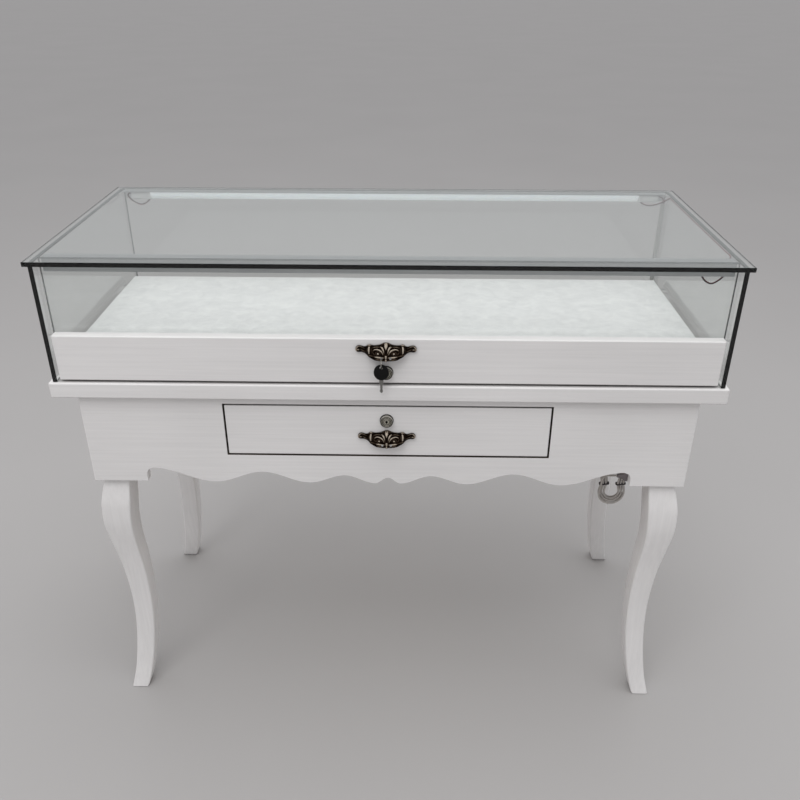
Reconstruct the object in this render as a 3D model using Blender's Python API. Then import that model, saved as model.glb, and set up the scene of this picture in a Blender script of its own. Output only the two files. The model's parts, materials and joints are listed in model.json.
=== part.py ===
"""Jewelry showcase: a glass case with a display drawer, on a table with a storage drawer.

Metres, +Z up. The origin is on the floor under the middle of the whole object, +X is to the
right as one faces the drawers, and the drawers open towards -Y.
"""
import math

import bmesh
import bpy
import numpy as np
from mathutils import Matrix, Vector

for leftover in list(bpy.data.objects):
    bpy.data.objects.remove(leftover, do_unlink=True)

# Driving dimensions of the table
TABLE_WIDTH = 1.200
TABLE_DEPTH = 0.500
PLINTH_UNDERSIDE = 0.7266
PLINTH_THICK = 0.030
PLINTH_EASE = 0.002
APRON_SIDE_INSET = 0.042
APRON_FRONT_INSET = 0.014
APRON_THICK = 0.018
APRON_HEIGHT = 0.1843
POST_SIZE = 0.045
LEG_CHAMFER = 0.003
CHEEK_THICK = 0.015
CHEEK_BELOW_OPENING = 0.012

# Driving dimensions of the glass case
TOP_GLASS = 0.008
PANE_GLASS = 0.008
PANE_SIDE_INSET = 0.008
PANE_END_INSET = 0.004
PANE_HEIGHT = 0.2137
ARRIS = 0.0007
LIGHT_LEG = 0.018
LIGHT_WALL = 0.0015
LIGHT_END_ROOM = 0.062
LIGHT_PROFILE_ROOM = 0.004
FRONT_CONNECTOR_LENGTH = 0.028
BACK_CONNECTOR_LENGTH = 0.042
CONNECTOR_SIZE = 0.015

# Driving dimensions of the display drawer
DISPLAY_FRONT_THICK = 0.018
DISPLAY_FRONT_HEIGHT = 0.086
DISPLAY_FRONT_LIFT = 0.0035
DISPLAY_SIDE_GAP = 0.0046
DISPLAY_FACE_SET = 0.001
TRAY_THICK = 0.009
TRAY_OVER_LOCK = 0.0005
TRAY_SIDE_GAP = 0.0095
TRAY_BACK_GAP = 0.045
PAD_THICK = 0.0105
PAD_CROWN = 0.0015
PAD_DRAW_IN = 0.002
FRONT_PANE_LAP = 0.0105
FRONT_PANE_SETBACK = 0.005
RAIL_INSET = 0.150
RAIL_WIDTH = 0.022
RAIL_HEIGHT = 0.014
RAIL_WALL = 0.002
RAIL_SLOT = 0.010
RAIL_BACK_ROOM = 0.018
RUNNER_SHORT = 0.020
RUNNER_FLANGE = 0.003

# Driving dimensions of the storage drawer
OPENING_WIDTH = 0.597
OPENING_HEIGHT = 0.108
OPENING_BELOW_PLINTH = 0.0159
STORAGE_GAP = 0.003
STORAGE_FRONT_THICK = 0.018
STORAGE_WALL = 0.012
STORAGE_BACK_ROOM = 0.076
STORAGE_BOX_HEIGHT = 0.080
STORAGE_BOX_LIFT = 0.008
STORAGE_BOTTOM_THICK = 0.005
SLIDE_THICK = 0.0127
SLIDE_HEIGHT = 0.045
SLIDE_SHEET = 0.0012
SLIDE_BACK_ROOM = 0.035
SLIDE_STEP = 0.020

# Pulls, locks and the key
FITTING_OFFSET = -0.0016
PULL_WIDTH = 0.103
PULL_HEIGHT = 0.028
PULL_REACH = 0.020
PULL_WALL = 0.002
PULL_CUP_WIDTH = 0.064
PULL_WING_THICK = 0.005
PULL_RIM_RISE = 0.010
PULL_SHOULDER_DROP = 0.010
EYE_OFFSET = 0.0079
EYE_HEIGHT = 0.006
EYE_RADIUS = 0.0022
DISPLAY_PULL_UP = 0.0507
DISPLAY_LOCK_UP = 0.022
STORAGE_PULL_UP = 0.0255
STORAGE_LOCK_UP = 0.0745
LOCK_HEAD_RADIUS = 0.0125
LOCK_FACE_RADIUS = 0.0105
LOCK_HEAD_LENGTH = 0.008
LOCK_BARREL_RADIUS = 0.008
LOCK_PLUG_RADIUS = 0.0055
LOCK_TAIL_RADIUS = 0.003
LOCK_TAIL_LENGTH = 0.004
KEYWAY_WIDTH = 0.002
KEYWAY_HEIGHT = 0.007
KEYWAY_DEPTH = 0.010
CAM_THICK = 0.002
CAM_WIDTH = 0.012
CAM_CLEAR = 0.0006
RING_RADIUS = 0.0075
RING_WIRE = 0.0006
BOW_WIDTH = 0.026
BOW_HEIGHT = 0.028
BOW_THICK = 0.0024
BOW_HOLE = 0.0025
KEY_BLADE_LENGTH = 0.025
KEY_BLADE_WIDTH = 0.0075
KEY_NECK_WIDTH = 0.0055

# Wiring
CONDUIT_WIDTH = 0.008
CONDUIT_DEPTH = 0.006
CONDUIT_FROM_SIDE = 0.0044
CONDUIT_FOOT = 0.014
CONDUIT_HEAD_DROP = 0.023
WIRE_RADIUS = 0.0012
SUPPLY_RADIUS = 0.0017
SUPPLY_ARCH = 0.011
LINK_DIP = 0.017
LINK_EASE = 0.025
GROMMET_FROM_SIDE = 0.060
GROMMET_FROM_BACK = 0.068
GROMMET_RADIUS = 0.007
GROMMET_BORE = 0.0036
GROMMET_LIP = 0.0025
DRIVER_LENGTH = 0.100
DRIVER_WIDTH = 0.034
DRIVER_HEIGHT = 0.022
DRIVER_FROM_GROMMET = 0.050
RELIEF_LENGTH = 0.022
RELIEF_RADIUS = 0.006
CORD_RADIUS = 0.002
HANK_FROM_SIDE = 0.083
HANK_FROM_FRONT = 0.098
HANK_BELOW_APRON = 0.0718
HANK_LOOPS = 6
HANK_LAYERS = 2
HANK_STEP = 0.0054
HANK_INNER_RADIUS = 0.0125
HANK_RUN = 0.040
HANK_WAIST = 0.003
HANK_LAYER_PITCH = 0.0050
HANK_LEAD_IN = 0.0408
HANK_RUN_SHARE = 0.24
HANK_TAIL = 0.030
HANK_TAIL_BEND = 0.014
HANK_TAIL_OUT = 0.009
LOOP_POINTS = 24
PLUG_LENGTH = 0.034
PLUG_WIDTH = 0.022
PLUG_DEPTH = 0.015
PIN_LENGTH = 0.017
PIN_SPREAD = 0.0127
PIN_WIDTH = 0.0063
PIN_THICK = 0.0016

# Clearances
SEAT = 0.0003
RUN_PLAY = 0.0005
EYE_PLAY = 0.0007

# Levels and faces that follow from the dimensions
PLINTH_TOP = PLINTH_UNDERSIDE + PLINTH_THICK
PANE_BOTTOM = PLINTH_TOP + SEAT
PANE_TOP = PANE_BOTTOM + PANE_HEIGHT
TOP_BOTTOM = PANE_TOP + SEAT
HALF_WIDTH = TABLE_WIDTH / 2
HALF_DEPTH = TABLE_DEPTH / 2
PANE_OUTER_X = HALF_WIDTH - PANE_SIDE_INSET
PANE_INNER_X = PANE_OUTER_X - PANE_GLASS
PANE_FRONT_Y = -HALF_DEPTH + PANE_END_INSET
PANE_BACK_Y = HALF_DEPTH - PANE_END_INSET
BACK_PANE_INNER_Y = PANE_BACK_Y - PANE_GLASS
DISPLAY_FACE_Y = PANE_FRONT_Y + DISPLAY_FACE_SET
DISPLAY_FRONT_BACK_Y = DISPLAY_FACE_Y + DISPLAY_FRONT_THICK
DISPLAY_FRONT_BOTTOM = PLINTH_TOP + DISPLAY_FRONT_LIFT
DISPLAY_FRONT_TOP = DISPLAY_FRONT_BOTTOM + DISPLAY_FRONT_HEIGHT
FRONT_PANE_Y = DISPLAY_FRONT_BACK_Y + FRONT_PANE_SETBACK
FRONT_PANE_BACK_Y = FRONT_PANE_Y + PANE_GLASS
FRONT_PANE_BOTTOM = DISPLAY_FRONT_TOP - FRONT_PANE_LAP
DISPLAY_PULL_BOTTOM = DISPLAY_FRONT_BOTTOM + DISPLAY_PULL_UP
DISPLAY_LOCK_HEIGHT = DISPLAY_FRONT_BOTTOM + DISPLAY_LOCK_UP
TRAY_TOP = DISPLAY_LOCK_HEIGHT + LOCK_BARREL_RADIUS + TRAY_OVER_LOCK
TRAY_BOTTOM = TRAY_TOP - TRAY_THICK
TRAY_HALF = PANE_INNER_X - TRAY_SIDE_GAP
TRAY_FRONT_Y = DISPLAY_FRONT_BACK_Y + SEAT
TRAY_BACK_Y = BACK_PANE_INNER_Y - TRAY_BACK_GAP
RAIL_OFFSET = TRAY_HALF - RAIL_INSET
LIGHT_HALF_LENGTH = PANE_INNER_X - LIGHT_END_ROOM
CONDUIT_X = PANE_INNER_X - CONDUIT_FROM_SIDE
APRON_X = HALF_WIDTH - APRON_SIDE_INSET
APRON_Y = HALF_DEPTH - APRON_FRONT_INSET
APRON_INNER_X = APRON_X - APRON_THICK
APRON_INNER_Y = APRON_Y - APRON_THICK
APRON_TOP = PLINTH_UNDERSIDE - SEAT
APRON_CORNER_BOTTOM = APRON_TOP - APRON_HEIGHT
POST_X = APRON_INNER_X - SEAT - POST_SIZE / 2
POST_Y = APRON_INNER_Y - SEAT - POST_SIZE / 2
OPENING_TOP = PLINTH_UNDERSIDE - OPENING_BELOW_PLINTH
OPENING_BOTTOM = OPENING_TOP - OPENING_HEIGHT
STORAGE_PULL_BOTTOM = OPENING_BOTTOM + STORAGE_GAP + STORAGE_PULL_UP
STORAGE_LOCK_HEIGHT = OPENING_BOTTOM + STORAGE_GAP + STORAGE_LOCK_UP
STORAGE_FACE_Y = -APRON_Y
STORAGE_FRONT_BACK_Y = STORAGE_FACE_Y + STORAGE_FRONT_THICK
CHEEK_INNER_X = OPENING_WIDTH / 2 + SEAT
BOX_HALF = CHEEK_INNER_X - SLIDE_THICK - 2 * SEAT
BOX_FRONT_Y = STORAGE_FRONT_BACK_Y + SEAT
BOX_BOTTOM = OPENING_BOTTOM + STORAGE_BOX_LIFT
BOX_TOP = BOX_BOTTOM + STORAGE_BOX_HEIGHT
SLIDE_MIDDLE_Z = (BOX_BOTTOM + BOX_TOP) / 2
SLIDE_FRONT_Y = BOX_FRONT_Y + SEAT
BOX_BACK_Y = APRON_INNER_Y - STORAGE_BACK_ROOM
SLIDE_OUTER_LENGTH = APRON_INNER_Y - SLIDE_BACK_ROOM - SLIDE_FRONT_Y
SLIDE_MIDDLE_LENGTH = SLIDE_OUTER_LENGTH - SLIDE_STEP
SLIDE_INNER_LENGTH = BOX_BACK_Y - SLIDE_STEP / 2 - SLIDE_FRONT_Y
GROMMET_X = APRON_INNER_X - GROMMET_FROM_SIDE
GROMMET_Y = APRON_INNER_Y - GROMMET_FROM_BACK
DRIVER_BACK_Y = GROMMET_Y - DRIVER_FROM_GROMMET
DRIVER_FRONT_Y = DRIVER_BACK_Y - DRIVER_LENGTH
DRIVER_MIDDLE_Z = PLINTH_UNDERSIDE - SEAT - DRIVER_HEIGHT / 2
HANK_MIDDLE = (APRON_INNER_X - HANK_FROM_SIDE, HANK_FROM_FRONT - APRON_INNER_Y,
               APRON_CORNER_BOTTOM - HANK_BELOW_APRON)


def surface(name, colour, roughness, metallic=0.0, alpha=1.0):
    """A plain finish: colour, roughness and metal."""
    finish = bpy.data.materials.new(name)
    finish.use_nodes = True
    shader = finish.node_tree.nodes["Principled BSDF"]
    shader.inputs["Base Color"].default_value = (*colour, 1.0)
    shader.inputs["Roughness"].default_value = roughness
    shader.inputs["Metallic"].default_value = metallic
    shader.inputs["Alpha"].default_value = alpha
    return finish


WHITE_PAINT = surface("white_lacquered_wood", (0.78, 0.77, 0.77), 0.42)
BIRCH_BOARD = surface("bare_birch_board", (0.66, 0.52, 0.36), 0.55)
CLEAR_GLASS = surface("clear_float_glass", (0.72, 0.84, 0.80), 0.05, 0.0, 0.35)
BRONZE = surface("antique_bronze", (0.16, 0.11, 0.07), 0.42, 0.9)
CHROME = surface("chromed_zinc", (0.70, 0.69, 0.66), 0.18, 1.0)
STEEL = surface("zinc_plated_steel", (0.58, 0.59, 0.60), 0.32, 1.0)
ALUMINIUM = surface("anodised_aluminium", (0.68, 0.69, 0.70), 0.35, 1.0)
OPAL = surface("opal_acrylic", (0.92, 0.92, 0.90), 0.4)
CLEAR_PLASTIC = surface("clear_moulded_plastic", (0.80, 0.82, 0.82), 0.25)
WHITE_PLASTIC = surface("white_moulded_plastic", (0.82, 0.82, 0.81), 0.4)
BLACK_PLASTIC = surface("black_moulded_plastic", (0.02, 0.02, 0.02), 0.35)
RED_WIRE = surface("dark_red_wire", (0.16, 0.02, 0.03), 0.4)
LEAD_PVC = surface("clear_grey_lead", (0.42, 0.41, 0.39), 0.35)
PLUSH = surface("white_plush", (0.82, 0.82, 0.83), 0.95)


def add_piece(name, data, finish, origin=(0.0, 0.0, 0.0), carrier=None):
    """Links one named piece, placed at its origin and carried by its assembly's empty."""
    piece = bpy.data.objects.new(name, data)
    bpy.context.scene.collection.objects.link(piece)
    data.materials.append(finish)
    piece.location = origin
    if carrier is not None:
        piece.parent = carrier
        piece.location = Vector(origin) - Vector(carrier["place"])
    return piece


def mesh_of(name, shape, smooth_angle=None):
    """Turns a finished bmesh into mesh data with its faces pointing out."""
    bmesh.ops.recalc_face_normals(shape, faces=shape.faces[:])
    data = bpy.data.meshes.new(name)
    shape.to_mesh(data)
    shape.free()
    if smooth_angle is not None:
        data.shade_smooth()
        data.set_sharp_from_angle(angle=smooth_angle)
    return data


def assembly(name, place, carried_by=None):
    """An empty that carries a moving assembly, standing on its joint's axis."""
    carrier = bpy.data.objects.new(name, None)
    bpy.context.scene.collection.objects.link(carrier)
    carrier["place"] = tuple(place)
    carrier.location = place
    if carried_by is not None:
        carrier.parent = carried_by
        carrier.location = Vector(place) - Vector(carried_by["place"])
    return carrier


def board(name, low, high, finish, ease=0.0, carrier=None):
    """A rectangular piece between two opposite corners, with its edges eased."""
    low, high = Vector(low), Vector(high)
    shape = bmesh.new()
    bmesh.ops.create_cube(shape, size=1.0, matrix=Matrix.Diagonal((*(high - low), 1.0)))
    if ease > 0.0:
        bmesh.ops.bevel(shape, geom=shape.edges[:], offset=ease, segments=1, affect="EDGES", profile=0.5)
    return add_piece(name, mesh_of(name, shape), finish, (low + high) / 2, carrier)


def prism(name, outline, span, across, finish, carrier=None, origin=(0.0, 0.0, 0.0)):
    """An outline drawn out along one axis (0, 1 or 2) over a span, in the axes' own order."""
    shape = bmesh.new()
    corners = []
    for first, second in outline:
        spot = [first, second]
        spot.insert(across, span[0])
        corners.append(shape.verts.new(spot))
    cap = shape.faces.new(corners)
    drawn = bmesh.ops.extrude_face_region(shape, geom=[cap])["geom"]
    step = Vector((0.0, 0.0, 0.0))
    step[across] = span[1] - span[0]
    bmesh.ops.translate(shape, verts=[item for item in drawn if isinstance(item, bmesh.types.BMVert)],
                        vec=step)
    return add_piece(name, mesh_of(name, shape), finish, origin, carrier)


def loft(name, rings, finish, carrier=None, smooth_angle=None, origin=(0.0, 0.0, 0.0)):
    """A closed body through a row of rings with equal counts of points."""
    shape = bmesh.new()
    loops = [[shape.verts.new(spot) for spot in ring] for ring in rings]
    for lower, upper in zip(loops, loops[1:]):
        for index in range(len(lower)):
            after = (index + 1) % len(lower)
            shape.faces.new((lower[index], lower[after], upper[after], upper[index]))
    shape.faces.new(loops[0])
    shape.faces.new(loops[-1])
    return add_piece(name, mesh_of(name, shape, smooth_angle), finish, origin, carrier)


def turned(name, profile, finish, origin, carrier=None, steps=24, closed=False,
           facing=(math.pi / 2, 0.0, 0.0)):
    """A profile of (radius, height) turned about its height, which then faces the front."""
    shape = bmesh.new()
    spots = [shape.verts.new((radius, 0.0, height)) for radius, height in profile]
    edges = [shape.edges.new(pair) for pair in zip(spots, spots[1:])]
    if closed:
        edges.append(shape.edges.new((spots[-1], spots[0])))
    bmesh.ops.spin(shape, geom=spots + edges, axis=(0, 0, 1), cent=(0, 0, 0), angle=math.tau, steps=steps,
                   use_merge=True)
    bmesh.ops.remove_doubles(shape, verts=shape.verts[:], dist=1e-6)
    piece = add_piece(name, mesh_of(name, shape, math.radians(35)), finish, origin, carrier)
    piece.rotation_euler = facing
    return piece


def tube(name, route, radius, roundness, finish, carrier=None):
    """A round wire or cord along a row of points, closed at both ends."""
    curve = bpy.data.curves.new(name, "CURVE")
    curve.dimensions = "3D"
    curve.bevel_depth = radius
    curve.bevel_resolution = roundness
    curve.use_fill_caps = True
    spline = curve.splines.new("POLY")
    spline.points.add(len(route) - 1)
    for point, spot in zip(spline.points, route):
        point.co = (*spot, 1.0)
    return add_piece(name, curve, finish, (0.0, 0.0, 0.0), carrier)


def smooth_route(stations, step):
    """Points a step apart along the smooth curve through hand-chosen stations."""
    stations = [Vector(station) for station in stations]
    ends = [2 * stations[0] - stations[1]] + stations + [2 * stations[-1] - stations[-2]]
    route = []
    for before, start, stop, after in zip(ends, ends[1:], ends[2:], ends[3:]):
        pieces = max(1, round((stop - start).length / step))
        for index in range(pieces):
            share = index / pieces
            route.append(0.5 * ((2 * start) + (stop - before) * share
                                + (2 * before - 5 * start + 4 * stop - after) * share ** 2
                                + (3 * start - before - 3 * stop + after) * share ** 3))
    route.append(stations[-1])
    return route


def shape_with(target, tool, operation):
    """Cuts a tool's shape out of a piece, or joins it on, and leaves the tool as a guide."""
    change = target.modifiers.new(tool.name, "BOOLEAN")
    change.operation = operation
    change.solver = "EXACT"
    change.object = tool
    tool.hide_render = True
    tool.display_type = "WIRE"


# The table's boards

def scallop(crests, edge, rise_share=6):
    """Half of a waved lower edge: crests of (offset, rise) joined by smooth swells, then a step."""
    points = []
    for (start, low), (stop, high) in zip(crests, crests[1:]):
        for index in range(rise_share):
            share = index / rise_share
            points.append((start + (stop - start) * share,
                           low + (high - low) * (1 - math.cos(math.pi * share)) / 2))
    top = crests[-1]
    points.append(top)
    points.append((edge - (edge - top[0]) * 0.35, top[1] * 0.88))
    points.append((edge, top[1] * 0.60))
    points.append((edge, 0.0))
    return points


def apron_outline(half_length, crests, edge):
    """The board's outline across its thickness: a waved lower edge and a straight top."""
    spaced = [(share * half_length, rise) for share, rise in crests]
    half = scallop(spaced, edge * half_length) + [(half_length, 0.0)]
    lower = [(-offset, rise) for offset, rise in reversed(half)] + half[1:]
    height = APRON_TOP - APRON_CORNER_BOTTOM
    return lower + [(half_length, height), (-half_length, height)]


# Crests of the waved edges: share of the board's half length, and rise
LONG_WAVE = [(0.0, 0.0126), (0.043, 0.0), (0.145, 0.017), (0.265, 0.0), (0.423, 0.023), (0.584, 0.0),
             (0.794, 0.0295)]
LONG_WAVE_EDGE = 0.817
SHORT_WAVE = [(0.0, 0.017), (0.266, 0.0), (0.555, 0.0295)]
SHORT_WAVE_EDGE = 0.615


def add_table():
    """The plinth board, the four aprons and the cheeks that carry the storage drawer."""
    plinth = board("plinth_board", (-HALF_WIDTH, -HALF_DEPTH, PLINTH_UNDERSIDE),
                   (HALF_WIDTH, HALF_DEPTH, PLINTH_TOP), WHITE_PAINT, PLINTH_EASE)
    bore = turned("grommet_hole_cutter",
                  [(GROMMET_RADIUS + SEAT, PLINTH_THICK), (GROMMET_RADIUS + SEAT, -PLINTH_THICK)],
                  BLACK_PLASTIC, (GROMMET_X, GROMMET_Y, PLINTH_UNDERSIDE + PLINTH_THICK / 2),
                  facing=(0.0, 0.0, 0.0))
    bore.data.materials.clear()
    close_ends(bore.data)
    shape_with(plinth, bore, "DIFFERENCE")
    base = (0.0, 0.0, APRON_CORNER_BOTTOM)
    long_outline = apron_outline(APRON_X, LONG_WAVE, LONG_WAVE_EDGE)
    front = prism("front_apron", long_outline, (-APRON_Y, -APRON_INNER_Y), 1, WHITE_PAINT, origin=base)
    prism("back_apron", long_outline, (APRON_INNER_Y, APRON_Y), 1, WHITE_PAINT, origin=base)
    short_outline = apron_outline(APRON_INNER_Y - SEAT, SHORT_WAVE, SHORT_WAVE_EDGE)
    prism("left_apron", short_outline, (-APRON_X, -APRON_INNER_X), 0, WHITE_PAINT, origin=base)
    prism("right_apron", short_outline, (APRON_INNER_X, APRON_X), 0, WHITE_PAINT, origin=base)
    opening = board("drawer_opening_cutter", (-OPENING_WIDTH / 2, -APRON_Y - APRON_THICK, OPENING_BOTTOM),
                    (OPENING_WIDTH / 2, -APRON_INNER_Y + APRON_THICK, OPENING_TOP), WHITE_PAINT)
    shape_with(front, opening, "DIFFERENCE")
    for side, word in ((-1, "left"), (1, "right")):
        inner, outer = side * CHEEK_INNER_X, side * (CHEEK_INNER_X + CHEEK_THICK)
        board("drawer_cheek_" + word,
              (min(inner, outer), -APRON_INNER_Y + SEAT, OPENING_BOTTOM - CHEEK_BELOW_OPENING),
              (max(inner, outer), APRON_INNER_Y - SEAT, APRON_TOP), BIRCH_BOARD)


def close_ends(data):
    """Closes the open ends of a turned sleeve."""
    shape = bmesh.new()
    shape.from_mesh(data)
    bmesh.ops.holes_fill(shape, edges=[edge for edge in shape.edges if edge.is_boundary])
    bmesh.ops.recalc_face_normals(shape, faces=shape.faces[:])
    shape.to_mesh(data)
    shape.free()


# The legs: square sections whose middle swings out along the diagonal
# Each station: share of the height to the shoulder, swing, and the section's size
LEG_STATIONS = [(0.000, 0.0317, 0.0355), (0.074, 0.0215, 0.0365), (0.166, 0.0130, 0.0378),
                (0.277, 0.0062, 0.0388),
                (0.387, 0.0030, 0.0398), (0.498, 0.0032, 0.0415), (0.609, 0.0062, 0.0445),
                (0.720, 0.0118, 0.0490),
                (0.812, 0.0142, 0.0550), (0.904, 0.0110, 0.0565), (0.969, 0.0060, 0.0510)]
LEG_SHOULDER = (0.0030, 0.0460)
LEG_SECTION_STEP = 0.024


def leg_section(middle_x, middle_y, height, size):
    """A square section with chamfered corners."""
    half, cut = size / 2, size / 2 - LEG_CHAMFER
    corners = [(half, -cut), (half, cut), (cut, half), (-cut, half), (-half, cut), (-half, -cut),
               (-cut, -half), (cut, -half)]
    return [(middle_x + dx, middle_y + dy, height) for dx, dy in corners]


def add_legs():
    """Four legs, each one piece with its post, which runs up inside the apron's corner."""
    shoulder_top = APRON_CORNER_BOTTOM - SEAT
    stations = [Vector((swing, size, share * shoulder_top)) for share, swing, size in LEG_STATIONS]
    stations.append(Vector((*LEG_SHOULDER, shoulder_top - SEAT)))
    profile = smooth_route(stations, LEG_SECTION_STEP)
    for side_x, word_x in ((-1, "left"), (1, "right")):
        for side_y, word_y in ((-1, "front"), (1, "back")):
            rings = [leg_section(side_x * (POST_X + swing), side_y * (POST_Y + swing), height, size)
                     for swing, size, height in profile]
            for height in (shoulder_top, APRON_TOP):
                rings.append(leg_section(side_x * POST_X, side_y * POST_Y, height, POST_SIZE))
            loft(word_y + "_" + word_x + "_leg", rings, WHITE_PAINT, smooth_angle=math.radians(30))


# The glass case

def add_glass():
    """Five panes; the back and front panes stand between the side panes, under the top."""
    board("glass_top", (-HALF_WIDTH, -HALF_DEPTH, TOP_BOTTOM),
          (HALF_WIDTH, HALF_DEPTH, TOP_BOTTOM + TOP_GLASS), CLEAR_GLASS, ARRIS)
    for side, word in ((-1, "left"), (1, "right")):
        inner, outer = side * PANE_INNER_X, side * PANE_OUTER_X
        board("glass_" + word, (min(inner, outer), PANE_FRONT_Y, PANE_BOTTOM),
              (max(inner, outer), PANE_BACK_Y, PANE_TOP), CLEAR_GLASS, ARRIS)
    between = PANE_INNER_X - SEAT
    board("glass_back", (-between, BACK_PANE_INNER_Y, PANE_BOTTOM), (between, PANE_BACK_Y, PANE_TOP),
          CLEAR_GLASS, ARRIS)
    board("glass_front", (-between, FRONT_PANE_Y, FRONT_PANE_BOTTOM),
          (between, FRONT_PANE_BACK_Y, PANE_TOP), CLEAR_GLASS, ARRIS)


def arc(middle, radius, start, stop, count):
    """Points along a circle's arc, angles in radians."""
    angles = [start + (stop - start) * index / (count - 1) for index in range(count)]
    return [(middle[0] + radius * math.cos(angle), middle[1] + radius * math.sin(angle)) for angle in angles]


def add_light(word, wall_y, inward, connector_length):
    """A corner profile under the top, against a pane, with its bowed diffuser and end connectors."""
    top = PANE_TOP - SEAT
    near = wall_y + inward * SEAT

    def corner(points):
        return [(near + inward * across, top - down) for across, down in points]

    wall = [(0, 0), (LIGHT_LEG, 0), (LIGHT_LEG, LIGHT_WALL), (LIGHT_WALL, LIGHT_WALL),
            (LIGHT_WALL, LIGHT_LEG), (0, LIGHT_LEG)]
    half = PANE_INNER_X - LIGHT_PROFILE_ROOM
    prism("light_profile_" + word, corner(wall), (-half, half), 0, ALUMINIUM)
    lip = LIGHT_WALL + SEAT
    outer = LIGHT_LEG - lip
    bow = arc((lip, lip), outer, 0.0, math.pi / 2, 7)
    hollow = arc((lip, lip), outer - LIGHT_WALL, math.pi / 2, 0.0, 7)
    prism("light_diffuser_" + word, corner(bow + hollow), (-LIGHT_HALF_LENGTH, LIGHT_HALF_LENGTH), 0, OPAL)
    rounded = [(lip, lip), (lip + CONNECTOR_SIZE, lip)] + arc((lip, lip), CONNECTOR_SIZE, math.pi / 6,
                                                              math.pi / 3, 3)
    rounded.append((lip, lip + CONNECTOR_SIZE))
    for side, hand in ((-1, "left"), (1, "right")):
        start = side * (LIGHT_HALF_LENGTH + SEAT)
        prism("light_connector_" + word + "_" + hand, corner(rounded),
              (start, start + side * connector_length), 0, CLEAR_PLASTIC)


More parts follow.
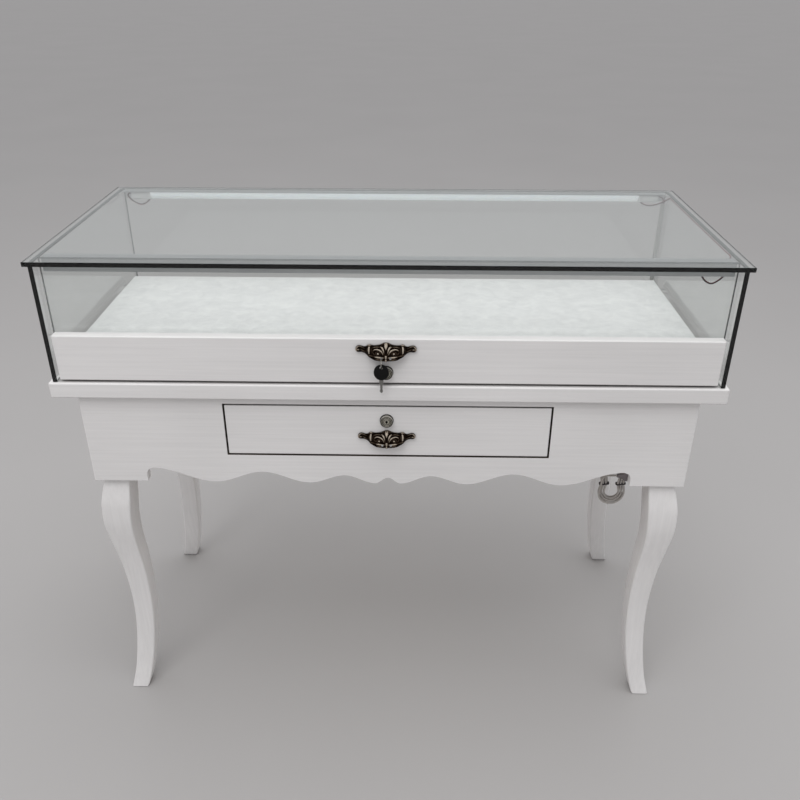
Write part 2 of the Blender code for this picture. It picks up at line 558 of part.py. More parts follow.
def add_wiring():
    """The conduit on the back pane, the wires under the top and the lead down to the driver."""
    conduit_back = BACK_PANE_INNER_Y - SEAT
    conduit_y = conduit_back - CONDUIT_DEPTH / 2
    conduit_bottom = PLINTH_TOP + CONDUIT_FOOT
    conduit_top = PANE_TOP - CONDUIT_HEAD_DROP
    board("cable_conduit", (CONDUIT_X - CONDUIT_WIDTH / 2, conduit_back - CONDUIT_DEPTH, conduit_bottom),
          (CONDUIT_X + CONDUIT_WIDTH / 2, conduit_back, conduit_top), WHITE_PLASTIC, ARRIS)
    lip = LIGHT_WALL + 2 * SEAT
    start = LIGHT_HALF_LENGTH + SEAT
    end = start + BACK_CONNECTOR_LENGTH + SEAT
    level = PANE_TOP - lip - CONNECTOR_SIZE / 3
    under = PANE_TOP - lip - CONNECTOR_SIZE * 0.91 - SEAT
    front_y = FRONT_PANE_BACK_Y + lip + CONNECTOR_SIZE / 3
    back_y = BACK_PANE_INNER_Y - lip - CONNECTOR_SIZE / 3
    corner_x = PANE_INNER_X - 3 * SEAT - WIRE_RADIUS
    corner_z = PANE_TOP - 3 * SEAT - WIRE_RADIUS
    straight = 2.5 * WIRE_RADIUS

    def loop(share, y, dip):
        return (start + share * BACK_CONNECTOR_LENGTH, y, under - straight - dip * LINK_DIP)

    link = [(start + 0.12 * BACK_CONNECTOR_LENGTH, front_y, under), loop(0.12, front_y, 0.0),
            loop(0.30, front_y, 0.56),
            loop(0.58, front_y + 0.04 * LINK_EASE, 0.85), loop(0.86, front_y + 0.10 * LINK_EASE, 0.52),
            loop(1.08, front_y + 0.20 * LINK_EASE, 0.0), loop(1.26, front_y + 0.52 * LINK_EASE, -0.5),
            (corner_x, front_y + 1.2 * LINK_EASE, corner_z), (corner_x, front_y + 2 * LINK_EASE, corner_z),
            (corner_x, (front_y + back_y) / 2, corner_z),
            (corner_x, back_y - 2 * LINK_EASE, corner_z), (corner_x, back_y - 1.3 * LINK_EASE, corner_z),
            loop(1.22, back_y - 0.80 * LINK_EASE, -0.4), loop(0.95, back_y - 0.48 * LINK_EASE, 0.05),
            loop(0.64, back_y - 0.20 * LINK_EASE, 0.32), loop(0.36, back_y - 0.05 * LINK_EASE, 0.25),
            loop(0.20, back_y, 0.0), (start + 0.20 * BACK_CONNECTOR_LENGTH, back_y, under)]
    tube("light_link_wire", smooth_route(link, 8 * WIRE_RADIUS), WIRE_RADIUS, 2, RED_WIRE)
    jumper = [(start + 0.12 * BACK_CONNECTOR_LENGTH, back_y, under), loop(0.12, back_y, 0.0),
              loop(0.32, back_y, 0.45),
              loop(0.58, back_y, 0.65), loop(0.86, back_y, 0.45), loop(1.10, back_y, 0.0),
              (end + 3 * straight, back_y, level - straight),
              (end + 2 * straight, back_y, level), (end + straight, back_y, level), (end, back_y, level)]
    tube("light_end_wire", smooth_route([(-x, y, z) for x, y, z in jumper], 4 * WIRE_RADIUS), WIRE_RADIUS, 2,
         RED_WIRE)
    bend_x = CONDUIT_X - end
    bend_z = level - conduit_top
    feed = [(end, back_y, level), (end + 0.28 * bend_x, back_y, level),
            (end + 0.72 * bend_x, back_y + 0.3 * (conduit_y - back_y), level - 0.16 * bend_z),
            (end + 0.96 * bend_x, back_y + 0.8 * (conduit_y - back_y), level - 0.50 * bend_z),
            (CONDUIT_X, conduit_y, conduit_top + straight), (CONDUIT_X, conduit_y, conduit_top + SEAT)]
    tube("light_feed_wire", smooth_route(feed, 2 * WIRE_RADIUS), WIRE_RADIUS, 2, RED_WIRE)
    on_plinth = PLINTH_TOP + SEAT + SUPPLY_RADIUS

    def toward_conduit(share, lift):
        return (GROMMET_X + share * (CONDUIT_X - GROMMET_X), GROMMET_Y + share * (conduit_y - GROMMET_Y),
                on_plinth + lift)

    fall = PLINTH_UNDERSIDE - DRIVER_MIDDLE_Z
    lead = [(CONDUIT_X, conduit_y, conduit_bottom - SEAT),
            (CONDUIT_X, conduit_y, conduit_bottom - 0.3 * CONDUIT_FOOT),
            toward_conduit(0.97, 0.15 * CONDUIT_FOOT), toward_conduit(0.86, 0.0), toward_conduit(0.55, 0.0),
            toward_conduit(0.31, 0.0), toward_conduit(0.18, 0.4 * SUPPLY_ARCH),
            toward_conduit(0.08, SUPPLY_ARCH),
            toward_conduit(0.0, 0.65 * SUPPLY_ARCH), toward_conduit(0.0, -0.15 * PLINTH_THICK),
            (GROMMET_X, GROMMET_Y, PLINTH_UNDERSIDE + 0.3 * PLINTH_THICK),
            (GROMMET_X, GROMMET_Y, PLINTH_UNDERSIDE - 0.2 * fall),
            (GROMMET_X, GROMMET_Y - 0.08 * DRIVER_FROM_GROMMET, DRIVER_MIDDLE_Z + 0.2 * fall),
            (GROMMET_X, GROMMET_Y - 0.28 * DRIVER_FROM_GROMMET, DRIVER_MIDDLE_Z),
            (GROMMET_X, DRIVER_BACK_Y + 0.2 * DRIVER_FROM_GROMMET, DRIVER_MIDDLE_Z),
            (GROMMET_X, DRIVER_BACK_Y + SEAT, DRIVER_MIDDLE_Z)]
    tube("supply_lead", smooth_route(lead, 4 * SUPPLY_RADIUS), SUPPLY_RADIUS, 2, LEAD_PVC)
    lip = GROMMET_RADIUS + GROMMET_LIP
    turned("plinth_grommet",
           [(GROMMET_BORE, PLINTH_THICK + GROMMET_LIP), (lip, PLINTH_THICK + GROMMET_LIP),
            (lip, PLINTH_THICK + SEAT),
            (GROMMET_RADIUS, PLINTH_THICK + SEAT), (GROMMET_RADIUS, 0.0), (GROMMET_BORE, 0.0)],
           BLACK_PLASTIC, (GROMMET_X, GROMMET_Y, PLINTH_UNDERSIDE), steps=20, closed=True,
           facing=(0.0, 0.0, 0.0))
    driver = board("light_driver",
                   (GROMMET_X - DRIVER_WIDTH / 2, DRIVER_FRONT_Y, DRIVER_MIDDLE_Z - DRIVER_HEIGHT / 2),
                   (GROMMET_X + DRIVER_WIDTH / 2, DRIVER_BACK_Y, DRIVER_MIDDLE_Z + DRIVER_HEIGHT / 2),
                   WHITE_PLASTIC, PLINTH_EASE)
    bushing = turned("driver_bushing_guide",
                     [(0.0, RELIEF_LENGTH), (1.4 * CORD_RADIUS, RELIEF_LENGTH),
                      (RELIEF_RADIUS, RELIEF_LENGTH / 5),
                      (RELIEF_RADIUS, -RELIEF_LENGTH / 5), (0.0, -RELIEF_LENGTH / 5)],
                     WHITE_PLASTIC, (GROMMET_X, DRIVER_FRONT_Y, DRIVER_MIDDLE_Z), steps=16)
    shape_with(driver, bushing, "UNION")


# The mains lead: it leaves the driver, hangs down behind the apron and is folded into a hank

def hank_route():
    """The hank's loops in two layers that spiral in and out: straight runs, a little narrower at
    the tie, between round folds."""
    middle = Vector(HANK_MIDDLE)
    outer = HANK_INNER_RADIUS + (HANK_LOOPS - 0.5) / 2 * HANK_STEP
    top = HANK_RUN / 2 + HANK_LEAD_IN
    route = [middle + Vector((outer, HANK_LAYER_PITCH / 2, top)),
             middle + Vector((outer, HANK_LAYER_PITCH / 2, top - 2 * CORD_RADIUS))]
    for index in range(HANK_LOOPS * LOOP_POINTS - LOOP_POINTS // 2 + 1):
        turns = index / LOOP_POINTS
        radius = outer - HANK_STEP * min(turns, HANK_LOOPS - 0.5 - turns)
        climb = min(max((turns - (HANK_LOOPS / HANK_LAYERS - 0.5)) / 0.5, 0.0), 1.0)
        leave = min(max((turns - (HANK_LOOPS - 1.0)) / 0.5, 0.0), 1.0)
        rise = (3 - 2 * climb) * climb ** 2 + (3 - 2 * leave) * leave ** 2
        half_turn = (2 * turns) % 1.0
        if half_turn < HANK_RUN_SHARE:
            across, down = radius, HANK_RUN / 2 * half_turn / HANK_RUN_SHARE
        elif half_turn > 1.0 - HANK_RUN_SHARE:
            across, down = -radius, HANK_RUN / 2 * (1.0 - half_turn) / HANK_RUN_SHARE
        else:
            fold = math.pi * (half_turn - HANK_RUN_SHARE) / (1.0 - 2 * HANK_RUN_SHARE)
            across, down = radius * math.cos(fold), HANK_RUN / 2 + radius * math.sin(fold)
        if down < HANK_RUN / 2:
            across -= math.copysign(HANK_WAIST * math.cos(math.pi * down / HANK_RUN) ** 2, across)
        way = 1 if int(2 * turns) % 2 == 0 else -1
        route.append(middle + Vector((way * across, HANK_LAYER_PITCH / 2 - HANK_LAYER_PITCH * rise,
                                      -way * down)))
    return route


def least_gap(route, radius):
    """The smallest gap between stretches of a tube that aren't neighbours along it."""
    spots = np.array([tuple(spot) for spot in route])
    along = np.concatenate(([0.0], np.cumsum(np.linalg.norm(np.diff(spots, axis=0), axis=1))))
    apart = np.linalg.norm(spots[:, None, :] - spots[None, :, :], axis=2)
    apart[np.abs(along[:, None] - along[None, :]) < 8 * radius] = np.inf
    return float(apart.min() - 2 * radius), float(along[-1])


def add_cord():
    """The lead that hangs from the driver's bushing, its hank and the plug."""
    hank = hank_route()
    top = hank[0]
    start_y = DRIVER_FRONT_Y - SEAT - RELIEF_LENGTH
    fall = DRIVER_MIDDLE_Z - top.z

    def drop_point(forward, down):
        sideways = top.x - GROMMET_X
        return (GROMMET_X + sideways * down, start_y + (top.y - start_y) * forward,
                DRIVER_MIDDLE_Z - fall * down)

    drop = [drop_point(0.0, 0.0), drop_point(0.10, 0.0), drop_point(0.36, 0.02), drop_point(0.64, 0.09),
            drop_point(0.85, 0.24), drop_point(0.96, 0.46), drop_point(1.0, 0.68)]
    drop += [(top.x, top.y, top.z + 6 * CORD_RADIUS), (top.x, top.y, top.z + SEAT)]
    drop_route = smooth_route(drop, 5 * CORD_RADIUS)
    tube("power_cord", drop_route, CORD_RADIUS, 2, LEAD_PVC)
    last = hank[-1]
    straight = HANK_TAIL - HANK_TAIL_BEND
    tail = [last, last + Vector((0.0, -0.12 * HANK_TAIL_OUT, straight / 2)),
            last + Vector((0.0, -0.4 * HANK_TAIL_OUT, straight))]
    for share in (0.25, 0.5, 0.75, 1.0):
        bend = math.pi / 2 * share
        tail.append(last + Vector((HANK_TAIL_BEND * (1 - math.cos(bend)),
                                   -(0.4 + 0.6 * share) * HANK_TAIL_OUT,
                                   straight + HANK_TAIL_BEND * math.sin(bend))))
    plug_spot = tail[-1] + Vector((6 * CORD_RADIUS, 0.0, 0.0))
    tail += [tail[-1] + Vector((3 * CORD_RADIUS, 0.0, 0.0)), plug_spot]
    route = hank + smooth_route(tail, 2 * CORD_RADIUS)[1:]
    gap, length = least_gap(route, CORD_RADIUS)
    drop_length = least_gap(drop_route, CORD_RADIUS)[1]
    print("hank least gap mm", round(gap * 1000, 2), "hank length m", round(length, 3), "drop m",
          round(drop_length, 3))
    tube("power_cord_hank", route, CORD_RADIUS, 1, LEAD_PVC)
    rings = []
    for share, size in ((0.0, 0.34), (0.22, 0.42), (0.42, 0.95), (0.94, 1.0), (1.0, 0.90)):
        half_y, half_z = PLUG_DEPTH / 2 * size, PLUG_WIDTH / 2 * size
        cut = 0.3 * min(half_y, half_z)
        ring = [(half_y, -half_z + cut), (half_y, half_z - cut), (half_y - cut, half_z),
                (-half_y + cut, half_z),
                (-half_y, half_z - cut), (-half_y, -half_z + cut), (-half_y + cut, -half_z),
                (half_y - cut, -half_z)]
        rings.append([(PLUG_LENGTH * share, dy, dz) for dy, dz in ring])
    seat = plug_spot + Vector((SEAT, 0.0, 0.0))
    plug = loft("power_plug", rings, WHITE_PLASTIC, origin=seat)
    for side in (-1, 1):
        spot = seat + Vector((PLUG_LENGTH, 0.0, side * PIN_SPREAD / 2))
        pin = board("plug_pin_guide", spot - Vector((PIN_LENGTH / 4, PIN_WIDTH / 2, PIN_THICK / 2)),
                    spot + Vector((PIN_LENGTH, PIN_WIDTH / 2, PIN_THICK / 2)), CHROME)
        shape_with(plug, pin, "UNION")


# Pulls, locks and the key

def pull_profile(offset):
    """The cup's lower edge, top edge and reach at an offset from its middle."""
    share = abs(offset) / (PULL_CUP_WIDTH / 2)
    low = PULL_RIM_RISE * share ** 3
    high = PULL_HEIGHT - PULL_SHOULDER_DROP * share ** 1.4
    reach = PULL_REACH * math.sqrt(1.0 - 0.82 * share ** 2)
    return low, high, reach


def add_pull(name, face_y, bottom, carrier):
    """A cup pull, open below, with a wing on either end and two pierced eyes above its rim."""
    shape = bmesh.new()
    columns, rows = 12, 6
    skins = []
    for inset in (0.0, PULL_WALL):
        grid = []
        for column in range(columns + 1):
            offset = (column / columns - 0.5) * (PULL_CUP_WIDTH - 2 * inset)
            low, high, reach = pull_profile(offset)
            line = []
            for row in range(rows + 1):
                angle = math.pi / 2 * row / rows
                line.append(shape.verts.new((offset, -(reach - inset) * math.sin(angle),
                                             low + (high - inset - low) * math.cos(angle))))
            grid.append(line)
        skins.append(grid)
    outer, inner = skins
    for grid in skins:
        for left, right in zip(grid, grid[1:]):
            for row in range(rows):
                shape.faces.new((left[row], right[row], right[row + 1], left[row + 1]))
    rim_out = [line[-1] for line in outer] + [vert for vert in reversed(outer[-1][:-1])]
    rim_out += [line[0] for line in reversed(outer[:-1])] + outer[0][1:-1]
    rim_in = [line[-1] for line in inner] + [vert for vert in reversed(inner[-1][:-1])]
    rim_in += [line[0] for line in reversed(inner[:-1])] + inner[0][1:-1]
    for index in range(len(rim_out)):
        after = (index + 1) % len(rim_out)
        shape.faces.new((rim_out[index], rim_out[after], rim_in[after], rim_in[index]))
    spot = (FITTING_OFFSET, face_y - SEAT, bottom)
    pull = add_piece(name, mesh_of(name, shape), BRONZE, spot, carrier)
    for side in (-1, 1):
        start, stop = side * 0.88 * PULL_CUP_WIDTH / 2, side * PULL_WIDTH / 2
        low, high, reach = pull_profile(PULL_CUP_WIDTH / 2)
        tall = high - low
        outline = [(start, low), (stop * 0.80, low + 0.1 * tall), (stop * 0.95, low + 0.1 * tall),
                   (stop, low + 0.7 * tall),
                   (stop * 0.96, high + 0.2 * tall), (stop * 0.86, high + 0.1 * tall), (start, high)]
        wing = prism(name + "_wing_guide", outline, (-PULL_WING_THICK, 0.0), 1, BRONZE, carrier, spot)
        shape_with(pull, wing, "UNION")
    for side in (-1, 1):
        eye = turned(name + "_eye_cutter", [(0.0, PULL_REACH * 1.5), (EYE_RADIUS, PULL_REACH * 1.5),
                                            (EYE_RADIUS, PULL_REACH * 0.5), (0.0, PULL_REACH * 0.5)],
                     BRONZE, (FITTING_OFFSET + side * EYE_OFFSET, face_y, bottom + EYE_HEIGHT), carrier,
                     steps=16)
        shape_with(pull, eye, "DIFFERENCE")
    return pull


def add_lock(word, face_y, height, front_thick, reach, drawer):
    """A cam lock: body through the drawer front, turning plug with its keyway, and the cam."""
    plug_carrier = assembly(word + "_lock_turn", (FITTING_OFFSET, face_y, height), drawer)
    back = front_thick + LOCK_TAIL_LENGTH / 2
    bore = LOCK_PLUG_RADIUS + SEAT
    turned(word + "_lock_body",
           [(bore, LOCK_HEAD_LENGTH), (LOCK_FACE_RADIUS, LOCK_HEAD_LENGTH),
            (LOCK_HEAD_RADIUS, LOCK_HEAD_LENGTH * 0.6),
            (LOCK_HEAD_RADIUS, SEAT), (LOCK_BARREL_RADIUS, SEAT), (LOCK_BARREL_RADIUS, -back), (bore, -back)],
           CHROME, (FITTING_OFFSET, face_y, height), drawer, closed=True)
    plug_face = LOCK_HEAD_LENGTH - SEAT
    plug = turned(word + "_lock_plug",
                  [(0.0, plug_face), (LOCK_PLUG_RADIUS, plug_face), (LOCK_PLUG_RADIUS, -back - SEAT),
                   (LOCK_TAIL_RADIUS, -back - SEAT), (LOCK_TAIL_RADIUS, -back - LOCK_TAIL_LENGTH),
                   (0.0, -back - LOCK_TAIL_LENGTH)],
                  CHROME, (FITTING_OFFSET, face_y, height), plug_carrier, steps=20)
    keyway = board(word + "_keyway_cutter",
                   (FITTING_OFFSET - KEYWAY_WIDTH / 2, face_y - LOCK_HEAD_LENGTH * 2,
                    height - KEYWAY_HEIGHT / 2),
                   (FITTING_OFFSET + KEYWAY_WIDTH / 2, face_y - LOCK_HEAD_LENGTH + KEYWAY_DEPTH,
                    height + KEYWAY_HEIGHT / 2),
                   CHROME, 0.0, plug_carrier)
    shape_with(plug, keyway, "DIFFERENCE")
    half = CAM_WIDTH / 2
    outline = arc((0.0, 0.0), half, math.pi / 2, 3 * math.pi / 2, 7)
    outline += [(reach - half / 2, -half * 0.8), (reach, -half * 0.3), (reach, half * 0.3),
                (reach - half / 2, half * 0.8)]
    cam_front = face_y + back + 2 * SEAT
    cam = prism(word + "_lock_cam", outline, (cam_front, cam_front + CAM_THICK), 1, STEEL, plug_carrier,
                (FITTING_OFFSET, 0.0, height))
    tail = turned(word + "_cam_hole_cutter", [(0.0, 0.02), (LOCK_TAIL_RADIUS + SEAT, 0.02),
                                              (LOCK_TAIL_RADIUS + SEAT, -0.02), (0.0, -0.02)],
                  STEEL, (FITTING_OFFSET, cam_front, height), plug_carrier, steps=16)
    shape_with(cam, tail, "DIFFERENCE")


def eye_place():
    """Where the key ring passes through the left eye of the display drawer's pull."""
    low, high, reach = pull_profile(EYE_OFFSET)
    lean = math.acos((EYE_HEIGHT - low) / (high - low))
    wall_y = DISPLAY_FACE_Y - SEAT - (reach - PULL_WALL / 2) * math.sin(lean)
    drop = EYE_RADIUS - RING_WIRE - EYE_PLAY
    return Vector((FITTING_OFFSET - EYE_OFFSET, wall_y, DISPLAY_PULL_BOTTOM + EYE_HEIGHT - drop))


def add_key(drawer):
    """The wire ring through the pull's eye and the key hanging on it."""
    hang = eye_place()
    ring_carrier = assembly("key_ring_swing", hang, drawer)
    shape = bmesh.new()
    steps, sides = 24, 6
    loops = []
    for step in range(steps):
        turn = math.tau * step / steps
        loop = []
        for side in range(sides):
            round_wire = math.tau * side / sides
            out = RING_RADIUS + RING_WIRE * math.cos(round_wire)
            loop.append(shape.verts.new((RING_WIRE * math.sin(round_wire), out * math.sin(turn),
                                         -RING_RADIUS + out * math.cos(turn))))
        loops.append(loop)
    for step in range(steps):
        this, following = loops[step], loops[(step + 1) % steps]
        for side in range(sides):
            after = (side + 1) % sides
            shape.faces.new((this[side], this[after], following[after], following[side]))
    add_piece("key_ring", mesh_of("key_ring", shape, math.radians(60)), CHROME, hang, ring_carrier)
    key_carrier = assembly("key_swing", hang - Vector((0.0, 0.0, 2 * RING_RADIUS)), ring_carrier)
    key_hang = key_carrier["place"]
    hole_drop = BOW_HOLE - RING_WIRE - EYE_PLAY
    bow_middle = -hole_drop - (BOW_HEIGHT / 2 - BOW_HOLE - 0.0018)
    half_neck = KEY_NECK_WIDTH / 2
    foot = bow_middle - BOW_HEIGHT / 2
    spread = math.asin(half_neck / (BOW_WIDTH / 2))
    outline = []
    for index in range(21):
        angle = -math.pi / 2 + spread + (math.tau - 2 * spread) * index / 20
        outline.append((BOW_WIDTH / 2 * math.cos(angle), bow_middle + BOW_HEIGHT / 2 * math.sin(angle)))
    half_blade = KEY_BLADE_WIDTH / 2
    outline += [(-half_blade, foot - 0.002), (-half_blade, foot - 0.007), (-half_neck * 0.7, foot - 0.010),
                (-half_neck * 0.7, foot - KEY_BLADE_LENGTH + 0.006),
                (-half_blade * 0.8, foot - KEY_BLADE_LENGTH + 0.004),
                (0.0, foot - KEY_BLADE_LENGTH), (half_blade * 0.8, foot - KEY_BLADE_LENGTH + 0.004),
                (half_neck * 0.7, foot - KEY_BLADE_LENGTH + 0.006), (half_neck * 0.7, foot - 0.010),
                (half_blade, foot - 0.007), (half_blade, foot - 0.002)]
    key = prism("drawer_key", outline, (-BOW_THICK / 2, BOW_THICK / 2), 1, BLACK_PLASTIC, key_carrier,
                key_hang)
    hole = turned("key_hole_cutter", [(0.0, 0.01), (BOW_HOLE, 0.01), (BOW_HOLE, -0.01), (0.0, -0.01)],
                  BLACK_PLASTIC,
                  Vector(key_hang) - Vector((0.0, 0.0, hole_drop)), key_carrier, steps=16)
    shape_with(key, hole, "DIFFERENCE")


# The display drawer

def add_pad(carrier):
    """The plush pad: a crowned top, rounded edges and sides drawn in between the corners."""
    columns, rows = 28, 12
    bottom = TRAY_TOP + SEAT
    front, back = TRAY_FRONT_Y + 2 * SEAT, TRAY_BACK_Y
    half_depth = (back - front) / 2
    middle_y = (front + back) / 2
    shape = bmesh.new()

    def spread(index, count):
        return math.sin(math.pi / 2 * (2 * index / count - 1))

    def outline_point(u, v, grow):
        x = (TRAY_HALF - PAD_DRAW_IN * (1 - v * v) * abs(u) - grow) * u
        y = middle_y + (half_depth - PAD_DRAW_IN * (1 - u * u) * abs(v) - grow) * v
        return x, y

    top = []
    for column in range(columns + 1):
        u = spread(column, columns)
        line = []
        for row in range(rows + 1):
            v = spread(row, rows)
            edge = min(1.0, (1 - abs(u)) * 40) * min(1.0, (1 - abs(v)) * 16)
            height = PAD_THICK * (0.62 + 0.24 * edge) + PAD_CROWN * (1 - u ** 4) * (1 - v ** 4)
            line.append(shape.verts.new((*outline_point(u, v, 0.0), bottom + height)))
        top.append(line)
    for left, right in zip(top, top[1:]):
        for row in range(rows):
            shape.faces.new((left[row], right[row], right[row + 1], left[row + 1]))
    border = [line[0] for line in top] + top[-1][1:] + [line[-1]
                                                        for line in reversed(top[:-1])] + top[0][-2:0:-1]
    foot = []
    for vert in border:
        inward = 1.0 - 2 * PAD_DRAW_IN / TRAY_HALF
        foot.append(shape.verts.new((vert.co.x * inward, middle_y + (vert.co.y - middle_y) * inward, bottom)))
    for index in range(len(border)):
        after = (index + 1) % len(border)
        shape.faces.new((border[index], border[after], foot[after], foot[index]))
    shape.faces.new(foot)
    add_piece("display_pad", mesh_of("display_pad", shape, math.radians(50)), PLUSH, (0.0, 0.0, 0.0), carrier)


def add_display_drawer():
    """Front, tray, pad, pull, lock, key and the captive runners on their rails."""
    drawer = assembly("display_drawer_slide", (0.0, DISPLAY_FACE_Y, DISPLAY_FRONT_BOTTOM))
    half = PANE_INNER_X - DISPLAY_SIDE_GAP
    front = board("display_drawer_front", (-half, DISPLAY_FACE_Y, DISPLAY_FRONT_BOTTOM),
                  (half, DISPLAY_FRONT_BACK_Y, DISPLAY_FRONT_TOP), WHITE_PAINT, PLINTH_EASE, drawer)
    bore_for_lock(front, "display", DISPLAY_FACE_Y, DISPLAY_LOCK_HEIGHT, drawer)
    reach = DISPLAY_LOCK_HEIGHT - PLINTH_TOP - CAM_CLEAR
    notch_left, notch_right = FITTING_OFFSET - LOCK_HEAD_RADIUS, FITTING_OFFSET + reach + LOCK_HEAD_RADIUS
    notch_back = TRAY_FRONT_Y + LOCK_TAIL_LENGTH * 4
    tray = [(-TRAY_HALF, TRAY_FRONT_Y), (notch_left, TRAY_FRONT_Y), (notch_left, notch_back),
            (notch_right, notch_back),
            (notch_right, TRAY_FRONT_Y), (TRAY_HALF, TRAY_FRONT_Y), (TRAY_HALF, TRAY_BACK_Y),
            (-TRAY_HALF, TRAY_BACK_Y)]
    prism("display_tray", tray, (TRAY_BOTTOM, TRAY_TOP), 2, WHITE_PAINT, drawer)
    add_pad(drawer)
    add_pull("display_pull", DISPLAY_FACE_Y, DISPLAY_PULL_BOTTOM, drawer)
    add_lock("display", DISPLAY_FACE_Y, DISPLAY_LOCK_HEIGHT, DISPLAY_FRONT_THICK, reach, drawer)
    add_key(drawer)
    floor = PLINTH_TOP + SEAT
    half, slot = RAIL_WIDTH / 2, RAIL_SLOT / 2
    inside = half - RAIL_WALL
    rail = [(-half, 0.0), (half, 0.0), (half, RAIL_HEIGHT), (slot, RAIL_HEIGHT),
            (slot, RAIL_HEIGHT - RAIL_WALL),
            (inside, RAIL_HEIGHT - RAIL_WALL), (inside, RAIL_WALL), (-inside, RAIL_WALL),
            (-inside, RAIL_HEIGHT - RAIL_WALL),
            (-slot, RAIL_HEIGHT - RAIL_WALL), (-slot, RAIL_HEIGHT), (-half, RAIL_HEIGHT)]
    foot, stem = inside - RUN_PLAY, slot - RUN_PLAY
    foot_top = RAIL_HEIGHT - RAIL_WALL - RUN_PLAY
    top = TRAY_BOTTOM - SEAT - floor
    runner = [(-foot, RAIL_WALL + RUN_PLAY), (foot, RAIL_WALL + RUN_PLAY), (foot, foot_top), (stem, foot_top),
              (stem, top - RUNNER_FLANGE), (half, top - RUNNER_FLANGE), (half, top), (-half, top),
              (-half, top - RUNNER_FLANGE), (-stem, top - RUNNER_FLANGE), (-stem, foot_top),
              (-foot, foot_top)]
    rail_front = TRAY_FRONT_Y + LOCK_TAIL_LENGTH
    rail_back = TRAY_BACK_Y - RAIL_BACK_ROOM
    for side, word in ((-1, "left"), (1, "right")):
        spot = (side * RAIL_OFFSET, 0.0, floor)
        prism("display_rail_" + word, rail, (rail_front, rail_back), 1, STEEL, None, spot)
        prism("display_runner_" + word, runner, (rail_front, rail_back - RUNNER_SHORT), 1, STEEL, drawer,
              spot)


def bore_for_lock(front, word, face_y, height, carrier):
    """Drills a drawer front for its lock's barrel."""
    drill = turned(word + "_lock_drill", [(0.0, 0.05), (LOCK_BARREL_RADIUS + SEAT, 0.05),
                                          (LOCK_BARREL_RADIUS + SEAT, -0.05), (0.0, -0.05)],
                   WHITE_PAINT, (FITTING_OFFSET, face_y, height), carrier)
    shape_with(front, drill, "DIFFERENCE")


# The storage drawer

def slide_channel(web, depth, height, side, inner):
    """A C-shaped slide member: its web's near face, how far its flanges reach and its height."""
    half = height / 2
    tip = web + depth
    back = web + math.copysign(SLIDE_SHEET, depth)
    points = [(web, -half), (tip, -half), (tip, -half + SLIDE_SHEET), (back, -half + SLIDE_SHEET),
              (back, half - SLIDE_SHEET), (tip, half - SLIDE_SHEET), (tip, half), (web, half)]
    return [(side * (inner - offset), height_at) for offset, height_at in points]


def add_storage_drawer():
    """Front, box, bottom, pull, lock and the telescopic slides."""
    drawer = assembly("storage_drawer_slide", (0.0, STORAGE_FACE_Y, OPENING_BOTTOM))
    half = OPENING_WIDTH / 2 - STORAGE_GAP
    front = board("storage_drawer_front", (-half, STORAGE_FACE_Y, OPENING_BOTTOM + STORAGE_GAP),
                  (half, STORAGE_FRONT_BACK_Y, OPENING_TOP - STORAGE_GAP), WHITE_PAINT, PLINTH_EASE / 2,
                  drawer)
    bore_for_lock(front, "storage", STORAGE_FACE_Y, STORAGE_LOCK_HEIGHT, drawer)
    back_y = BOX_BACK_Y
    inner = BOX_HALF - STORAGE_WALL
    walls = [(-BOX_HALF, BOX_FRONT_Y), (-inner, BOX_FRONT_Y), (-inner, back_y - STORAGE_WALL),
             (inner, back_y - STORAGE_WALL),
             (inner, BOX_FRONT_Y), (BOX_HALF, BOX_FRONT_Y), (BOX_HALF, back_y), (-BOX_HALF, back_y)]
    prism("storage_drawer_box", walls, (BOX_BOTTOM, BOX_TOP), 2, BIRCH_BOARD, drawer)
    board("storage_drawer_bottom", (-inner + SEAT, BOX_FRONT_Y, BOX_BOTTOM),
          (inner - SEAT, back_y - STORAGE_WALL - SEAT, BOX_BOTTOM + STORAGE_BOTTOM_THICK), BIRCH_BOARD, 0.0,
          drawer)
    add_pull("storage_pull", STORAGE_FACE_Y, STORAGE_PULL_BOTTOM, drawer)
    reach = OPENING_TOP - STORAGE_LOCK_HEIGHT - CAM_CLEAR
    add_lock("storage", STORAGE_FACE_Y, STORAGE_LOCK_HEIGHT, STORAGE_FRONT_THICK, reach, drawer)
    web = SEAT
    nest = SLIDE_SHEET + RUN_PLAY
    middle_height = SLIDE_HEIGHT - 2 * nest
    inner_height = middle_height - 2 * nest
    inner_web = SLIDE_THICK + SEAT
    for side, word in ((-1, "left"), (1, "right")):
        spot = (0.0, 0.0, SLIDE_MIDDLE_Z)
        outer = slide_channel(web, SLIDE_THICK - nest, SLIDE_HEIGHT, side, CHEEK_INNER_X)
        middle = slide_channel(web + nest, SLIDE_THICK - 2 * nest, middle_height, side, CHEEK_INNER_X)
        strip = slide_channel(inner_web, -(SLIDE_THICK - 2 * nest - SEAT), inner_height, side, CHEEK_INNER_X)
        prism("slide_outer_" + word, outer, (SLIDE_FRONT_Y, SLIDE_FRONT_Y + SLIDE_OUTER_LENGTH), 1, STEEL,
              None, spot)
        prism("slide_middle_" + word, middle, (SLIDE_FRONT_Y, SLIDE_FRONT_Y + SLIDE_MIDDLE_LENGTH), 1, STEEL,
              None, spot)
        prism("slide_inner_" + word, strip, (SLIDE_FRONT_Y, SLIDE_FRONT_Y + SLIDE_INNER_LENGTH), 1, STEEL,
              drawer, spot)


add_table()
add_legs()
add_glass()
add_light("front", FRONT_PANE_BACK_Y, 1, FRONT_CONNECTOR_LENGTH)
add_light("back", BACK_PANE_INNER_Y, -1, BACK_CONNECTOR_LENGTH)
add_wiring()
add_cord()
add_display_drawer()
add_storage_drawer()

